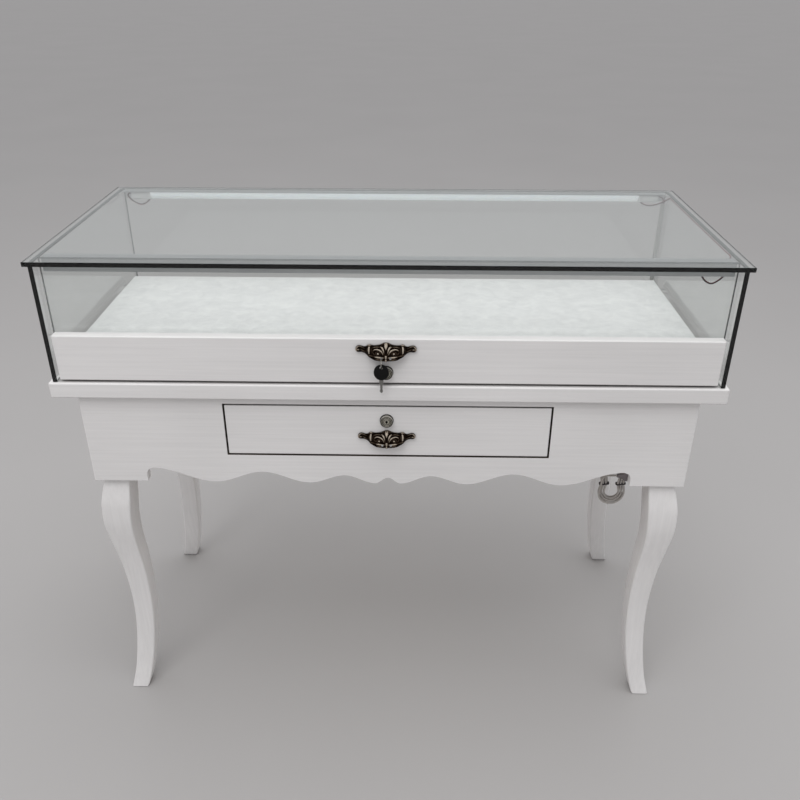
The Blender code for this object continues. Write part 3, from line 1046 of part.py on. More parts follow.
# The frame's origin lies under the middle of the whole object, whose pulls and key reach past the plinth
FRONT_REACH = RING_RADIUS + RING_WIRE - eye_place().y
for piece in bpy.context.scene.objects:
    if piece.parent is None:
        piece.location.y += (FRONT_REACH - HALF_DEPTH) / 2
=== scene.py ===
# %% [markdown]
# # A jewelry showcase, dressed on its measured frame
# The showcase is a glass case with a padded display drawer, standing on a small table with
# curved legs, scalloped aprons and a storage drawer. The frame that is loaded here holds every
# piece at its real size. This script gives those pieces their surfaces, and builds anew what
# needs a finer shape than the frame has: legs, aprons, cast pulls, locks, wires, lead and pad.

# %% Load the frame
import json
import math

import bmesh
import bpy
import numpy as np
from mathutils import Matrix, Vector, noise

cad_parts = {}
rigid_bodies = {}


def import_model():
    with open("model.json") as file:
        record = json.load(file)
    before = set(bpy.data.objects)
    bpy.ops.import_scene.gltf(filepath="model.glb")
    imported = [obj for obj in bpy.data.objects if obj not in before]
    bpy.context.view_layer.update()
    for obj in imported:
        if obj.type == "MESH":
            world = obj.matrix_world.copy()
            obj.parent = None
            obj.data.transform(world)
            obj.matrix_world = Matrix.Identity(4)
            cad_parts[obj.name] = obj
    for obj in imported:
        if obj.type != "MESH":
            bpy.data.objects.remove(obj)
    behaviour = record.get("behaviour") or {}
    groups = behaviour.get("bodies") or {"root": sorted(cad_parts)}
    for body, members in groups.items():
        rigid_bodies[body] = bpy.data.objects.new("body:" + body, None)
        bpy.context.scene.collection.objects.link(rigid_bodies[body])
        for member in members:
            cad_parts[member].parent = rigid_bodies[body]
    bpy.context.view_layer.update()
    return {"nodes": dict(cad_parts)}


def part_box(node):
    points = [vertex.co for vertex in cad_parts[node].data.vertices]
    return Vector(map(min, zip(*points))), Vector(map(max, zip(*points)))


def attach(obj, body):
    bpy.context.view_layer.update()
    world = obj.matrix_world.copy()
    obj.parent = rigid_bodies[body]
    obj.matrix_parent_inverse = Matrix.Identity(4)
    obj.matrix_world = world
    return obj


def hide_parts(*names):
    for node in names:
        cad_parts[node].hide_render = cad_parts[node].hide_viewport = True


for leftover in list(bpy.data.objects):
    bpy.data.objects.remove(leftover, do_unlink=True)
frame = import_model()
MM = 0.001

# %% [markdown]
# ## Camera
# The camera stands where the photograph was taken from: in front, a little right of the middle,
# at the height of a standing person's chest and looking down at the case. Its place was solved
# from the corners of the top glass, the table and the legs, so the picture's edges line up.

# %% Camera
CAMERA_PLACE = (0.0429, -1.5165, 1.4215)
CAMERA_DOWN = math.radians(28.43)
CAMERA_LEFT = math.radians(0.906)
CAMERA_ROLL = math.radians(0.147)
CAMERA_LENS = 36.91

camera = bpy.data.objects.new("camera", bpy.data.cameras.new("camera"))
bpy.context.scene.collection.objects.link(camera)
camera.data.lens = CAMERA_LENS
camera.data.sensor_width = 36.0
camera.matrix_world = (
    Matrix.Translation(CAMERA_PLACE)
    @ Matrix.Rotation(CAMERA_LEFT, 4, "Z")
    @ Matrix.Rotation(math.pi / 2 - CAMERA_DOWN, 4, "X")
    @ Matrix.Rotation(CAMERA_ROLL, 4, "Z")
)
bpy.context.scene.camera = camera
print("camera at", CAMERA_PLACE, "lens", CAMERA_LENS, "mm")

# %% [markdown]
# ## Small tools for shapes
# Every piece below is a mesh that sits at the origin, with its place in its points, as the
# frame's own nodes do. Three helpers do most of the work: one links a mesh as a named piece, one
# bakes what its modifiers make into a plain mesh, and one says which body of the frame it moves
# with and which rough node it stands for.


# %% Pieces
def add_object(name, data):
    """Links a new object with this data to the scene."""
    made = bpy.data.objects.new(name, data)
    bpy.context.scene.collection.objects.link(made)
    return made


def smooth(data, angle):
    """Shades a mesh smooth except across edges over the angle."""
    data.shade_smooth()
    data.set_sharp_from_angle(angle=math.radians(angle))


def mesh_piece(name, shape, finish, smooth_angle=30.0):
    """Links a finished bmesh as a named piece, smooth except across edges over the angle."""
    data = bpy.data.meshes.new(name)
    shape.to_mesh(data)
    shape.free()
    smooth(data, smooth_angle)
    data.materials.append(finish)
    return add_object(name, data)


def settle(piece):
    """Turns what a piece's modifiers make into its own plain mesh."""
    bpy.context.view_layer.update()
    graph = bpy.context.evaluated_depsgraph_get()
    made = bpy.data.meshes.new_from_object(piece.evaluated_get(graph), depsgraph=graph)
    piece.modifiers.clear()
    piece.data = made
    return piece


def round_edges(piece, width, segments=3, angle=25.0, finish_index=-1):
    """Rounds the edges that are sharper than the angle; one segment makes a flat chamfer."""
    bevel = piece.modifiers.new("rounding", "BEVEL")
    bevel.width = width
    bevel.material = finish_index
    bevel.segments = segments
    bevel.limit_method = "ANGLE"
    bevel.angle_limit = math.radians(angle)
    settle(piece)
    smooth(piece.data, 40.0)
    even = piece.modifiers.new("flat_faces_stay_flat", "WEIGHTED_NORMAL")
    even.weight = 100
    even.keep_sharp = True
    return settle(piece)


def dress(piece, body, slot, *nodes):
    """Says what a piece moves with and which nodes it stands for; its slot is not used."""
    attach(piece, body)
    if nodes:
        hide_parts(*nodes)
    print(piece.name, "on", body, "for", list(nodes), len(piece.data.polygons), "faces")
    return piece


# %% Outlines and routes
def in_mm(pairs, middle=(0.0, 0.0)):
    """Pairs of millimetres about a middle, as pairs of metres."""
    return [(middle[0] + a * MM, middle[1] + b * MM) for a, b in pairs]


def in_space(pair, axis, along):
    """A pair as a point, with its place along the third axis (0, 1 or 2) put in."""
    spot = list(pair)
    spot.insert(axis, along)
    return Vector(spot)


def arc(middle, radius, start, stop, count):
    """Points along a circle's arc, angles in degrees."""
    angles = [math.radians(start + (stop - start) * index / (count - 1)) for index in range(count)]
    return [(middle[0] + radius * math.cos(a), middle[1] + radius * math.sin(a)) for a in angles]


def circle(middle, radius, count):
    """Points evenly round a circle."""
    return arc(middle, radius, 0.0, 360.0 - 360.0 / count, count)


def rounded_ring(half_a, half_b, radius, per_corner=5):
    """A rectangle's outline with rounded corners, as pairs about its middle."""
    ring = []
    for start, side_a, side_b in ((0, 1, 1), (90, -1, 1), (180, -1, -1), (270, 1, -1)):
        middle = (side_a * (half_a - radius), side_b * (half_b - radius))
        ring += arc(middle, radius, start, start + 90, per_corner)
    return ring


def ring_at(spot, axis, sizes, share=1.0, per_corner=5):
    """A rounded rectangle about a spot, across one axis; sizes are its two halves and its corner."""
    section = rounded_ring(*[share * size for size in sizes], per_corner)
    return [Vector(spot) + in_space(pair, axis, 0.0) for pair in section]


def through(stations, step):
    """Points about a step apart on the smooth curve through given stations."""
    stations = [Vector(station) for station in stations]
    ends = [2 * stations[0] - stations[1]] + stations + [2 * stations[-1] - stations[-2]]
    route = []
    for before, start, stop, after in zip(ends, ends[1:], ends[2:], ends[3:]):
        pieces = max(1, round((stop - start).length / step))
        for index in range(pieces):
            share = index / pieces
            route.append(0.5 * ((2 * start) + (stop - before) * share
                                + (2 * before - 5 * start + 4 * stop - after) * share ** 2
                                + (3 * start - before - 3 * stop + after) * share ** 3))
    route.append(stations[-1])
    return route


# %% Solids
def drawn_out(outline, axis, start, stop):
    """An outline drawn out along one axis (0, 1 or 2), in the other two axes' own order."""
    shape = bmesh.new()
    cap = shape.faces.new([shape.verts.new(in_space(pair, axis, start)) for pair in outline])
    grown = bmesh.ops.extrude_face_region(shape, geom=[cap])["geom"]
    moved = [item for item in grown if isinstance(item, bmesh.types.BMVert)]
    bmesh.ops.translate(shape, verts=moved, vec=in_space((0.0, 0.0), axis, stop - start))
    bmesh.ops.recalc_face_normals(shape, faces=shape.faces[:])
    return shape


def skin_rings(rings, shape=None, joined=False):
    """A body through a row of rings with equal counts of points, flat at its ends or joined round."""
    if shape is None:
        shape = bmesh.new()
    loops = [[shape.verts.new(spot) for spot in ring] for ring in rings]
    pairs = list(zip(loops, loops[1:]))
    if joined:
        pairs.append((loops[-1], loops[0]))
    else:
        shape.faces.new(loops[0])
        shape.faces.new(loops[-1])
    for lower, upper in pairs:
        for index in range(len(lower)):
            after = (index + 1) % len(lower)
            shape.faces.new((lower[index], lower[after], upper[after], upper[index]))
    bmesh.ops.recalc_face_normals(shape, faces=shape.faces[:])
    return shape


def turned_out(profile, centre, steps=64):
    """A profile of (radius, how far it stands out) turned about an axis that faces the front."""
    shape = bmesh.new()
    spots = [shape.verts.new((radius, -out, 0.0)) for radius, out in profile]
    edges = [shape.edges.new(pair) for pair in zip(spots, spots[1:])]
    bmesh.ops.spin(shape, geom=spots + edges, axis=(0, 1, 0), cent=(0, 0, 0), angle=math.tau,
                   steps=steps, use_merge=True)
    bmesh.ops.remove_doubles(shape, verts=shape.verts[:], dist=1e-6)
    bmesh.ops.translate(shape, verts=shape.verts[:], vec=centre)
    bmesh.ops.recalc_face_normals(shape, faces=shape.faces[:])
    return shape


def cut_with(piece, tool_shape, finish=None):
    """Cuts a shape out of a piece, and gives the cut faces a finish of their own if one is named."""
    tool = mesh_piece("cutting_tool", tool_shape, finish or piece.data.materials[0])
    cut = piece.modifiers.new("cut", "BOOLEAN")
    cut.operation = "DIFFERENCE"
    cut.solver = "EXACT"
    cut.material_mode = "TRANSFER"
    cut.object = tool
    settle(piece)
    bpy.data.objects.remove(tool, do_unlink=True)
    return piece


# %% [markdown]
# ## Small tools for finishes
# Colours are written as sRGB hex, the way a paint card or a picture gives them, and turned to
# the linear values that the shader needs. One function adds any node with its settings and
# links. Four more make what nearly every finish is put together from: a noise whose marks have a
# real size, a colour between two, a bump with a real depth and a value spread over a new range.


# %% Finish helpers
def linear(code):
    """An sRGB hex colour as linear red, green, blue and alpha."""
    parts = [int(code[index:index + 2], 16) / 255 for index in (1, 3, 5)]
    return (*[p / 12.92 if p <= 0.04045 else ((p + 0.055) / 1.055) ** 2.4 for p in parts], 1.0)


def set_inputs(tree, node, inputs):
    """Gives a node's inputs their values, or links them to a socket or to another node's first output."""
    for key, value in inputs.items():
        if isinstance(value, bpy.types.Node):
            value = value.outputs[0]
        if isinstance(value, bpy.types.NodeSocket):
            tree.links.new(value, node.inputs[key])
        else:
            node.inputs[key].default_value = value


def add_node(tree, kind, inputs=(), **settings):
    """Adds a node: settings are its properties, inputs are values, sockets or nodes to link."""
    made = tree.nodes.new(kind)
    for name, value in settings.items():
        setattr(made, name, value)
    set_inputs(tree, made, dict(inputs))
    return made


def new_finish(name, **sockets):
    """A Principled finish with its even values on the shader's own sockets."""
    finish = bpy.data.materials.new(name)
    finish.use_nodes = True
    shader = finish.node_tree.nodes["Principled BSDF"]
    set_inputs(finish.node_tree, shader, {key.replace("_", " "): value for key, value in sockets.items()})
    return finish, finish.node_tree, shader


def place_scaled(tree, sizes):
    """Object coordinates divided by real sizes along X, Y and Z, in metres."""
    where = add_node(tree, "ShaderNodeTexCoord").outputs["Object"]
    scale = tuple(1.0 / size for size in sizes)
    return add_node(tree, "ShaderNodeMapping", {"Vector": where, "Scale": scale})


def stretched(width, length, along):
    """Sizes along X, Y and Z of a pattern that is longer along one of them."""
    return [length if axis == along else width for axis in range(3)]


def speckle(tree, sizes, **inputs):
    """A noise whose marks have a real size along each axis."""
    return add_node(tree, "ShaderNodeTexNoise", {"Vector": place_scaled(tree, sizes), "Scale": 1.0, **inputs})


def blend(tree, share, dark, pale):
    """A colour between two, each a hex code or a socket."""
    ends = [linear(end) if isinstance(end, str) else end for end in (dark, pale)]
    mix = add_node(tree, "ShaderNodeMix", {"Factor": share, 6: ends[0], 7: ends[1]}, data_type="RGBA")
    return mix.outputs[2]


def bumped(tree, pattern, strength, depth, **inputs):
    """A bump that follows a pattern, with its depth in mm."""
    return add_node(tree, "ShaderNodeBump", {
        "Height": pattern, "Strength": strength, "Distance": depth * MM, **inputs})


def spread(tree, value, lowest, highest, first=0.0, last=1.0):
    """A value between two ends, spread between two others."""
    return add_node(tree, "ShaderNodeMapRange", {
        "Value": value, "From Min": lowest, "From Max": highest, "To Min": first, "To Max": last})


# %% [markdown]
# ## White lacquer
# The table's boards are sprayed with a white satin lacquer. The wood's pores still show through
# it as faint streaks along each board, and the spray leaves a very fine orange peel. A flat
# colour would look like plastic, so both are drawn: streaks as a stretched noise in colour,
# gloss and height, and the peel as a small even bump. Near joints and in crevices an ambient
# occlusion node darkens the colour towards grey: painted shade. The streaks run along each
# board, so there is one such finish for every direction.

# %% White lacquer finish
STREAK_LENGTH = 260 * MM
STREAK_WIDTH = 5.5 * MM
CLOUD_SIZE = 300 * MM
PEEL_SIZE = 2.2 * MM   # finer on the real lacquer, drawn coarse enough to show
PAINTED_SHADE_REACH = 9 * MM   # how far from a joint the painted shade reaches


def sprayed_lacquer(name, along):
    """Satin white lacquer over open-pored wood, its streaks along one axis."""
    finish, tree, shader = new_finish(name, Coat_Weight=0.08, Coat_Roughness=0.25)
    streaks = speckle(tree, stretched(STREAK_WIDTH, STREAK_LENGTH, along), Detail=5.0, Roughness=0.62,
                      Distortion=0.15)
    clouds = speckle(tree, [CLOUD_SIZE] * 3, Detail=2.0)
    both = add_node(tree, "ShaderNodeMath", {0: streaks, 1: clouds}, operation="ADD")
    colour = blend(tree, spread(tree, both, 0.62, 1.38), "#dddbda", "#eceae9")
    # painted shade: an ambient occlusion node darkens the lacquer towards grey near joints and in crevices
    painted_shade_ao = add_node(tree, "ShaderNodeAmbientOcclusion", {"Distance": PAINTED_SHADE_REACH}, samples=8)
    unshaded_share = spread(tree, painted_shade_ao.outputs["AO"], 0.05, 0.75)
    gloss = spread(tree, streaks, 0.3, 0.7, 0.46, 0.36)
    grain = bumped(tree, streaks, 0.35, 0.12)
    skin = bumped(tree, speckle(tree, [PEEL_SIZE] * 3, Detail=1.0), 0.25, 0.03, Normal=grain)
    set_inputs(tree, shader, {
        "Base Color": blend(tree, unshaded_share, "#8a8684", colour), "Roughness": gloss, "Normal": skin})
    return finish


LACQUER_X = sprayed_lacquer("sprayed_white_lacquer_along_x", 0)
LACQUER_Y = sprayed_lacquer("sprayed_white_lacquer_along_y", 1)
LACQUER_Z = sprayed_lacquer("sprayed_white_lacquer_along_z", 2)
print("lacquer streaks", STREAK_LENGTH, "x", STREAK_WIDTH, "m")

# %% [markdown]
# ## Float glass
# The panes are ordinary float glass with polished edges. Seen through its face it is nearly
# colourless, but along its depth the iron in it drinks the light, so the edges look black-green.
# That comes by itself from an absorbing volume inside the solid pane. Lamps have to reach the
# pad through the panes, so for their shadow rays the surface lets light pass. Three finishes go
# with it: the ground chamfer along every edge, coloured near black as painted shade to draw a
# pane's thin dark outline, a paler copy of it on the back edges, painted lighter as if lit from
# behind, and the grey line of glue where the standing panes are bonded to the top.

# %% Float glass finish
GLASS_DENSITY = 8.0   # per metre: 8 mm pass nine tenths of the light, half a metre nearly none


def float_glass():
    """Clear polished float glass, absorbing along its depth."""
    finish, tree, shader = new_finish("polished_float_glass", Base_Color=(1.0, 1.0, 1.0, 1.0),
                                      Roughness=0.0, IOR=1.52, Transmission_Weight=1.0)
    rays = add_node(tree, "ShaderNodeLightPath")
    passing = add_node(tree, "ShaderNodeBsdfTransparent", {"Color": (0.985, 0.984, 0.984, 1.0)})
    surface = add_node(tree, "ShaderNodeMixShader", {
        0: rays.outputs["Is Shadow Ray"], 1: shader, 2: passing})
    depth = add_node(tree, "ShaderNodeVolumeAbsorption", {
        "Color": linear("#7fae9b"), "Density": GLASS_DENSITY})
    set_inputs(tree, tree.nodes["Material Output"], {"Surface": surface, "Volume": depth})
    return finish


def worked_surface(name, dark, pale, sizes, relief, roughness, **sockets):
    """A ground, plated or drawn surface: fine marks with sizes and a relief in mm, rougher where dark."""
    finish, tree, shader = new_finish(name, **sockets)
    marks = speckle(tree, [size * MM for size in sizes], Detail=3.0, Roughness=0.6)
    set_inputs(tree, shader, {
        "Base Color": blend(tree, marks, dark, pale), "Roughness": spread(tree, marks, 0.3, 0.7, *roughness),
        "Normal": bumped(tree, marks, 0.3, relief)})
    return finish


def ground_glass(name, dark, pale, grit):
    """Glass that was ground or glued: no longer clear, with the marks of the belt in it."""
    return worked_surface(name, dark, pale, [grit] * 3, 0.03, (0.5, 0.5), IOR=1.52, Specular_IOR_Level=0.1)


GLASS = float_glass()
# painted shade: a near-black chamfer draws the panes' dark outline; painted light: a paler copy for the back
# edges
PAINTED_DARK_CHAMFER = ground_glass("ground_glass_chamfer", "#030807", "#07120e", 2.0)
PAINTED_LIT_CHAMFER = ground_glass("ground_glass_chamfer_lit_from_behind", "#59615e", "#717976", 2.0)
GLUE_LINE = ground_glass("clear_glue_line", "#3f4644", "#565d5a", 12.0)
print("glass density", GLASS_DENSITY, "per metre")

# %% [markdown]
# ## Metals
# The pulls are cast and antiqued: dipped dark, then rubbed so that the high points shine through
# as pale brass. That needs to know how high each point of the casting stands, which the mesh
# carries as an attribute. The locks and the ring are bright plated, the slides and rails are zinc
# plated with a faint spangle, and the light profiles are brushed and anodised.


# %% Metal finishes
def antiqued_bronze():
    """Cast bronze, dark in its hollows and rubbed bright on what stands out."""
    finish, tree, shader = new_finish("antiqued_cast_bronze", Metallic=1.0)
    rubbed = add_node(tree, "ShaderNodeAttribute", attribute_name="standing_out")
    grit = speckle(tree, [2.0 * MM] * 3, Detail=4.0, Roughness=0.7)
    wear = add_node(tree, "ShaderNodeMath", {0: grit, 1: 0.5, 2: rubbed.outputs["Fac"]},
                    operation="MULTIPLY_ADD")
    tones = add_node(tree, "ShaderNodeValToRGB", {"Fac": wear})
    ramp = tones.color_ramp.elements
    ramp[0].position = 0.30
    ramp[0].color = linear("#17100c")
    ramp[1].position = 1.0
    ramp[1].color = linear("#c3b6a6")
    for position, code in ((0.58, "#4b3c31"), (0.80, "#857766")):
        ramp.new(position).color = linear(code)
    set_inputs(tree, shader, {"Base Color": tones, "Roughness": spread(tree, wear, 0.3, 1.0, 0.55, 0.24),
                              "Normal": bumped(tree, grit, 0.4, 0.12)})
    return finish


def worked_metal(name, colour, dark, roughness, sizes, relief):
    """A plated or drawn metal, a third rougher where it is dark."""
    return worked_surface(name, dark, colour, sizes, relief, (roughness * 1.3, roughness * 0.8), Metallic=1.0)


BRONZE = antiqued_bronze()
PLATED_ZINC = worked_metal("bright_plated_zinc_casting", "#d0cec6", "#b0ada3", 0.13, (1.5, 1.5, 1.5), 0.01)
SATIN_ZINC = worked_metal("satin_turned_zinc_face", "#d0ccbf", "#a8a497", 0.26, (0.7, 3.0, 0.7), 0.02)
# painted shade: near-black zinc for the locks' grooves, keyways and washers
PAINTED_SHADE_ZINC = worked_metal("oxidised_zinc_groove", "#1c1a16", "#0f0e0c", 0.55, (0.8, 0.8, 0.8), 0.02)
ZINC_STEEL = worked_metal("zinc_plated_steel_sheet", "#c3c6c8", "#9da2a6", 0.34, (6.0, 30.0, 6.0), 0.02)
ALUMINIUM = worked_metal("brushed_anodised_aluminium", "#cfd1d2", "#b2b5b7", 0.36, (90.0, 0.8, 0.8), 0.02)
NICKEL = worked_metal("nickel_plated_key_blank", "#9c9b98", "#6d6c69", 0.28, (0.8, 0.8, 8.0), 0.02)
print("metals:", BRONZE.name, PLATED_ZINC.name, ZINC_STEEL.name, ALUMINIUM.name, NICKEL.name)

# %% [markdown]
# ## Plastics, wood and wire
# Mouldings carry the fine spark-eroded grain of their mould, so each gets a grit-sized bump. The
# light covers are opal acrylic, which glows a little from the light inside it. The drawer's box
# is bare birch, whose growth rings make long wavering stripes along the board.

# %% Plastic and wood finishes
MOULD_CLOUD = 25 * MM
BIRCH_RING = (14 * MM, 420 * MM)   # width and length of what a ring draws on the board
BIRCH_FIBRE = (1.2 * MM, 40 * MM)


def moulded(name, colour, pale, roughness, grit, **sockets):
    """A moulded plastic with the fine grain of its mould, which is in mm."""
    finish, tree, shader = new_finish(name, Roughness=roughness, **sockets)
    grain = speckle(tree, [grit * MM] * 3, Detail=2.0)
    cloud = speckle(tree, [MOULD_CLOUD] * 3)
    set_inputs(tree, shader, {
        "Base Color": blend(tree, cloud, colour, pale), "Normal": bumped(tree, grain, 0.3, 0.04)})
    return finish


def birch(name, along):
    """Bare sanded birch, its rings drawn out along one axis."""
    finish, tree, shader = new_finish(name, Roughness=0.55)
    rings = speckle(tree, stretched(*BIRCH_RING, along), Detail=3.0, Distortion=0.4)
    stripes = add_node(tree, "ShaderNodeMath", {0: rings, 1: 5.0}, operation="MULTIPLY")
    wave = add_node(tree, "ShaderNodeMath", {0: stripes, 1: 1.0}, operation="PINGPONG")
    fibres = speckle(tree, stretched(*BIRCH_FIBRE, along), Detail=2.0)
    mixed = add_node(tree, "ShaderNodeMath", {0: fibres, 1: 0.6, 2: wave}, operation="MULTIPLY_ADD")
    colour = blend(tree, spread(tree, mixed, 0.2, 1.4), "#c9aa7c", "#e3cba2")
    set_inputs(tree, shader, {"Base Color": colour, "Normal": bumped(tree, fibres, 0.3, 0.06)})
    return finish


OPAL = moulded("opal_acrylic_cover", "#eef0ee", "#f6f7f5", 0.38, 1.2, Subsurface_Weight=0.25,
               Emission_Color=linear("#fbfcff"), Emission_Strength=0.22)
CLEAR_SLEEVE = moulded("clear_pvc_sleeve", "#e4e6e6", "#f2f3f3", 0.16, 1.5, Transmission_Weight=0.22, IOR=1.5)
WHITE_ABS = moulded("white_abs_moulding", "#dedddb", "#e9e8e6", 0.42, 0.9)
# painted shade: the conduit is white moulding, coloured grey for the shade it stands in
WHITE_ABS_PAINTED_SHADE = moulded("light_grey_abs_duct", "#a3a3a1", "#b0b0ae", 0.40, 0.9)
BLACK_ABS = moulded("black_abs_moulding", "#0b0b0c", "#151516", 0.34, 0.9)
RED_WIRE = moulded("red_pvc_insulation", "#4e0d14", "#6a141b", 0.40, 1.0)
BLACK_WIRE = moulded("black_pvc_insulation", "#141012", "#241d1f", 0.40, 1.0)
BOW_ABS = moulded("satin_black_abs_bow", "#030303", "#070707", 0.48, 0.9, Specular_IOR_Level=0.22)
CLEAR_LEAD = moulded("clear_pvc_lead", "#b3ada8", "#d6d1cc", 0.16, 3.0, Transmission_Weight=0.15, IOR=1.5)
CLEAR_GREY = moulded("clear_grey_pvc_plug", "#6f686a", "#989092", 0.20, 2.0,
                     Transmission_Weight=0.15, IOR=1.5)
TIE_COAT = moulded("pvc_coated_wire_tie", "#2a2628", "#3d383a", 0.45, 1.0)
# bare fibreboard, coloured much darker than bare board: painted shade in the drawer opening's gap
BARE_BOARD_PAINTED_SHADE = moulded("bare_fibreboard_edge", "#3b3129", "#4a3f35", 0.85, 0.7)
BIRCH_X = birch("bare_birch_along_x", 0)
BIRCH_Y = birch("bare_birch_along_y", 1)
print("plastics and birch ready")

# %% [markdown]
# ## The mains lead
# A thin clear two-core lead leaves the light driver under the table, falls to just below the
# front apron and is wound there in a hank, with its plug lying on top. A round tube along a
# curve is the natural way to make it: the curve's own bevel keeps the thickness even at every
# turn, and the same points that the frame uses keep it clear of everything.

# %% Mains lead's sizes and places
SEAT = 0.3 * MM   # the frame's gap between two pieces that touch
LEAD_RADIUS = 2.0 * MM
HANK_LOOPS = 6
HANK_STEP = 5.4 * MM
HANK_INNER = 12.5 * MM
HANK_OUTER = HANK_INNER + (HANK_LOOPS - 0.5) / 2 * HANK_STEP
HANK_RUN = 40.0 * MM
HANK_RUN_SHARE = 0.24
HANK_WAIST = 3.0 * MM
HANK_PITCH = 5.0 * MM
HANK_TOP = HANK_RUN / 2 + 40.8 * MM   # how far above its middle the hank's lead begins
TAIL_BEND = 14.0 * MM
TAIL_STRAIGHT = 16.0 * MM
TAIL_OUT = 9.0 * MM
LOOP_POINTS = 48
DROP_STEP = 7.9 * MM
# the drop's stations in mm, as far right, back and up from where the lead leaves the driver
DROP_LINE = ((0.0, -9.52, 0.0), (0.1, -34.32, -3.7), (0.4, -60.92, -16.6), (1.0, -80.92, -44.2),
             (2.0, -91.42, -84.8), (2.9, -95.22, -125.3), (4.3, -95.22, -172.3))

low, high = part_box("light_driver")
LEAD_EXIT = tuple(round(x, 5) for x in ((low.x + high.x) / 2, low.y - SEAT, (low.z + high.z) / 2))
low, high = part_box("power_plug")
hank_y = (low.y + high.y) / 2 + TAIL_OUT + 1.5 * HANK_PITCH
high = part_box("power_cord_hank")[1]
HANK_MIDDLE = Vector((high.x - HANK_OUTER - LEAD_RADIUS, hank_y, high.z - HANK_TOP))
print("lead from", LEAD_EXIT, "to a hank about", [round(x, 4) for x in HANK_MIDDLE])


# %% Mains lead
def hank_loops():
    """Two layers of loops that spiral in and out: straight runs, narrower at the tie, and round folds."""
    front = HANK_PITCH / 2
    route = [HANK_MIDDLE + Vector((HANK_OUTER, front, HANK_TOP)),
             HANK_MIDDLE + Vector((HANK_OUTER, front, HANK_TOP - 2 * LEAD_RADIUS))]
    for index in range(HANK_LOOPS * LOOP_POINTS - LOOP_POINTS // 2 + 1):
        turns = index / LOOP_POINTS
        radius = HANK_OUTER - HANK_STEP * min(turns, HANK_LOOPS - 0.5 - turns)
        climb = min(max((turns - (HANK_LOOPS / 2 - 0.5)) / 0.5, 0.0), 1.0)
        leave = min(max((turns - (HANK_LOOPS - 1.0)) / 0.5, 0.0), 1.0)
        rise = (3 - 2 * climb) * climb ** 2 + (3 - 2 * leave) * leave ** 2
        half_turn = (2 * turns) % 1.0
        if half_turn < HANK_RUN_SHARE:
            across, down = radius, HANK_RUN / 2 * half_turn / HANK_RUN_SHARE
        elif half_turn > 1.0 - HANK_RUN_SHARE:
            across, down = -radius, HANK_RUN / 2 * (1.0 - half_turn) / HANK_RUN_SHARE
        else:
            fold = math.pi * (half_turn - HANK_RUN_SHARE) / (1.0 - 2 * HANK_RUN_SHARE)
            across, down = radius * math.cos(fold), HANK_RUN / 2 + radius * math.sin(fold)
        if down < HANK_RUN / 2:
            across -= math.copysign(HANK_WAIST * math.cos(math.pi * down / HANK_RUN) ** 2, across)
        way = 1 if int(2 * turns) % 2 == 0 else -1
        route.append(HANK_MIDDLE + Vector((way * across, front - HANK_PITCH * rise, -way * down)))
    return route


hank = hank_loops()
start, end = Vector(LEAD_EXIT), hank[-1]
drop_line = [start + Vector(spot) * MM for spot in DROP_LINE]
drop = through([start] + drop_line + [hank[0]], DROP_STEP)
tail_line = [end, end + Vector((0.0, -0.12 * TAIL_OUT, TAIL_STRAIGHT / 2)),
             end + Vector((0.0, -0.4 * TAIL_OUT, TAIL_STRAIGHT))]
for share in (0.25, 0.5, 0.75, 1.0):
    bend = math.pi / 2 * share
    tail_line.append(end + Vector((TAIL_BEND * (1 - math.cos(bend)), -(0.4 + 0.6 * share) * TAIL_OUT,
                                   TAIL_STRAIGHT + TAIL_BEND * math.sin(bend))))
plug_spot = tail_line[-1] + Vector((6 * LEAD_RADIUS, 0.0, 0.0))
tail = through(tail_line + [plug_spot - Vector((3 * LEAD_RADIUS, 0.0, 0.0)), plug_spot], 3 * MM)
lead_path = drop[:-1] + hank + tail[1:]

lead_curve = bpy.data.curves.new("mains_lead", "CURVE")
lead_curve.dimensions = "3D"
lead_curve.bevel_depth = LEAD_RADIUS
lead_curve.bevel_resolution = 4
lead_curve.use_fill_caps = True
spline = lead_curve.splines.new("POLY")
spline.points.add(len(lead_path) - 1)
for point, spot in zip(spline.points, lead_path):
    point.co = (*spot, 1.0)
lead_curve.materials.append(CLEAR_LEAD)
lead = add_object("mains_lead", lead_curve)
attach(lead, "showcase_frame")
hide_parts("power_cord", "power_cord_hank")

# %% [markdown]
# ## The plug on the lead
# The plug is one soft moulding: a thin neck that grips the lead, then a body with rounded
# corners, and two flat pins. It is skinned through rounded rectangles, like a sculptor's
# sections. A coated wire tie holds the hank on either side, and both are skinned the same way.

# %% Plug and ties
PLUG_LENGTH = 34.0 * MM
PLUG_SIZES = (7.5 * MM, 11.0 * MM, 4.4 * MM)   # two halves and the corner's radius
PLUG_SECTIONS = [(0.0, 0.30), (0.04, 0.36), (0.20, 0.40), (0.30, 0.55), (0.40, 0.86), (0.46, 0.95)]
PLUG_RIB = ((0.0, 0.99), (0.035, 1.0), (0.045, 0.94), (0.07, 0.94))
for rib in range(4):
    PLUG_SECTIONS += [(0.50 + 0.08 * rib + gap, size) for gap, size in PLUG_RIB]
PLUG_SECTIONS += [(0.82, 1.0), (0.93, 1.0), (0.98, 0.96), (1.0, 0.88)]
PIN_SIZES = (3.1 * MM, 0.75 * MM, 0.5 * MM)
PIN_SECTIONS = ((-4.0, 1.0), (15.6, 1.0), (16.6, 0.82), (17.0, 0.5))   # in mm from the plug's face
PIN_ASIDE = 6.35 * MM
TIE_HALF = (10.2, 5.2)   # in mm
TIE_CORNER = 3.4 * MM
TIE_SECTIONS = ((-1.0, -0.5), (-0.7, 0.0), (0.7, 0.0), (1.0, -0.5))   # share of the height, and mm grown
TIE_HEIGHT = 1.7 * MM
TIE_SLANT = 0.12
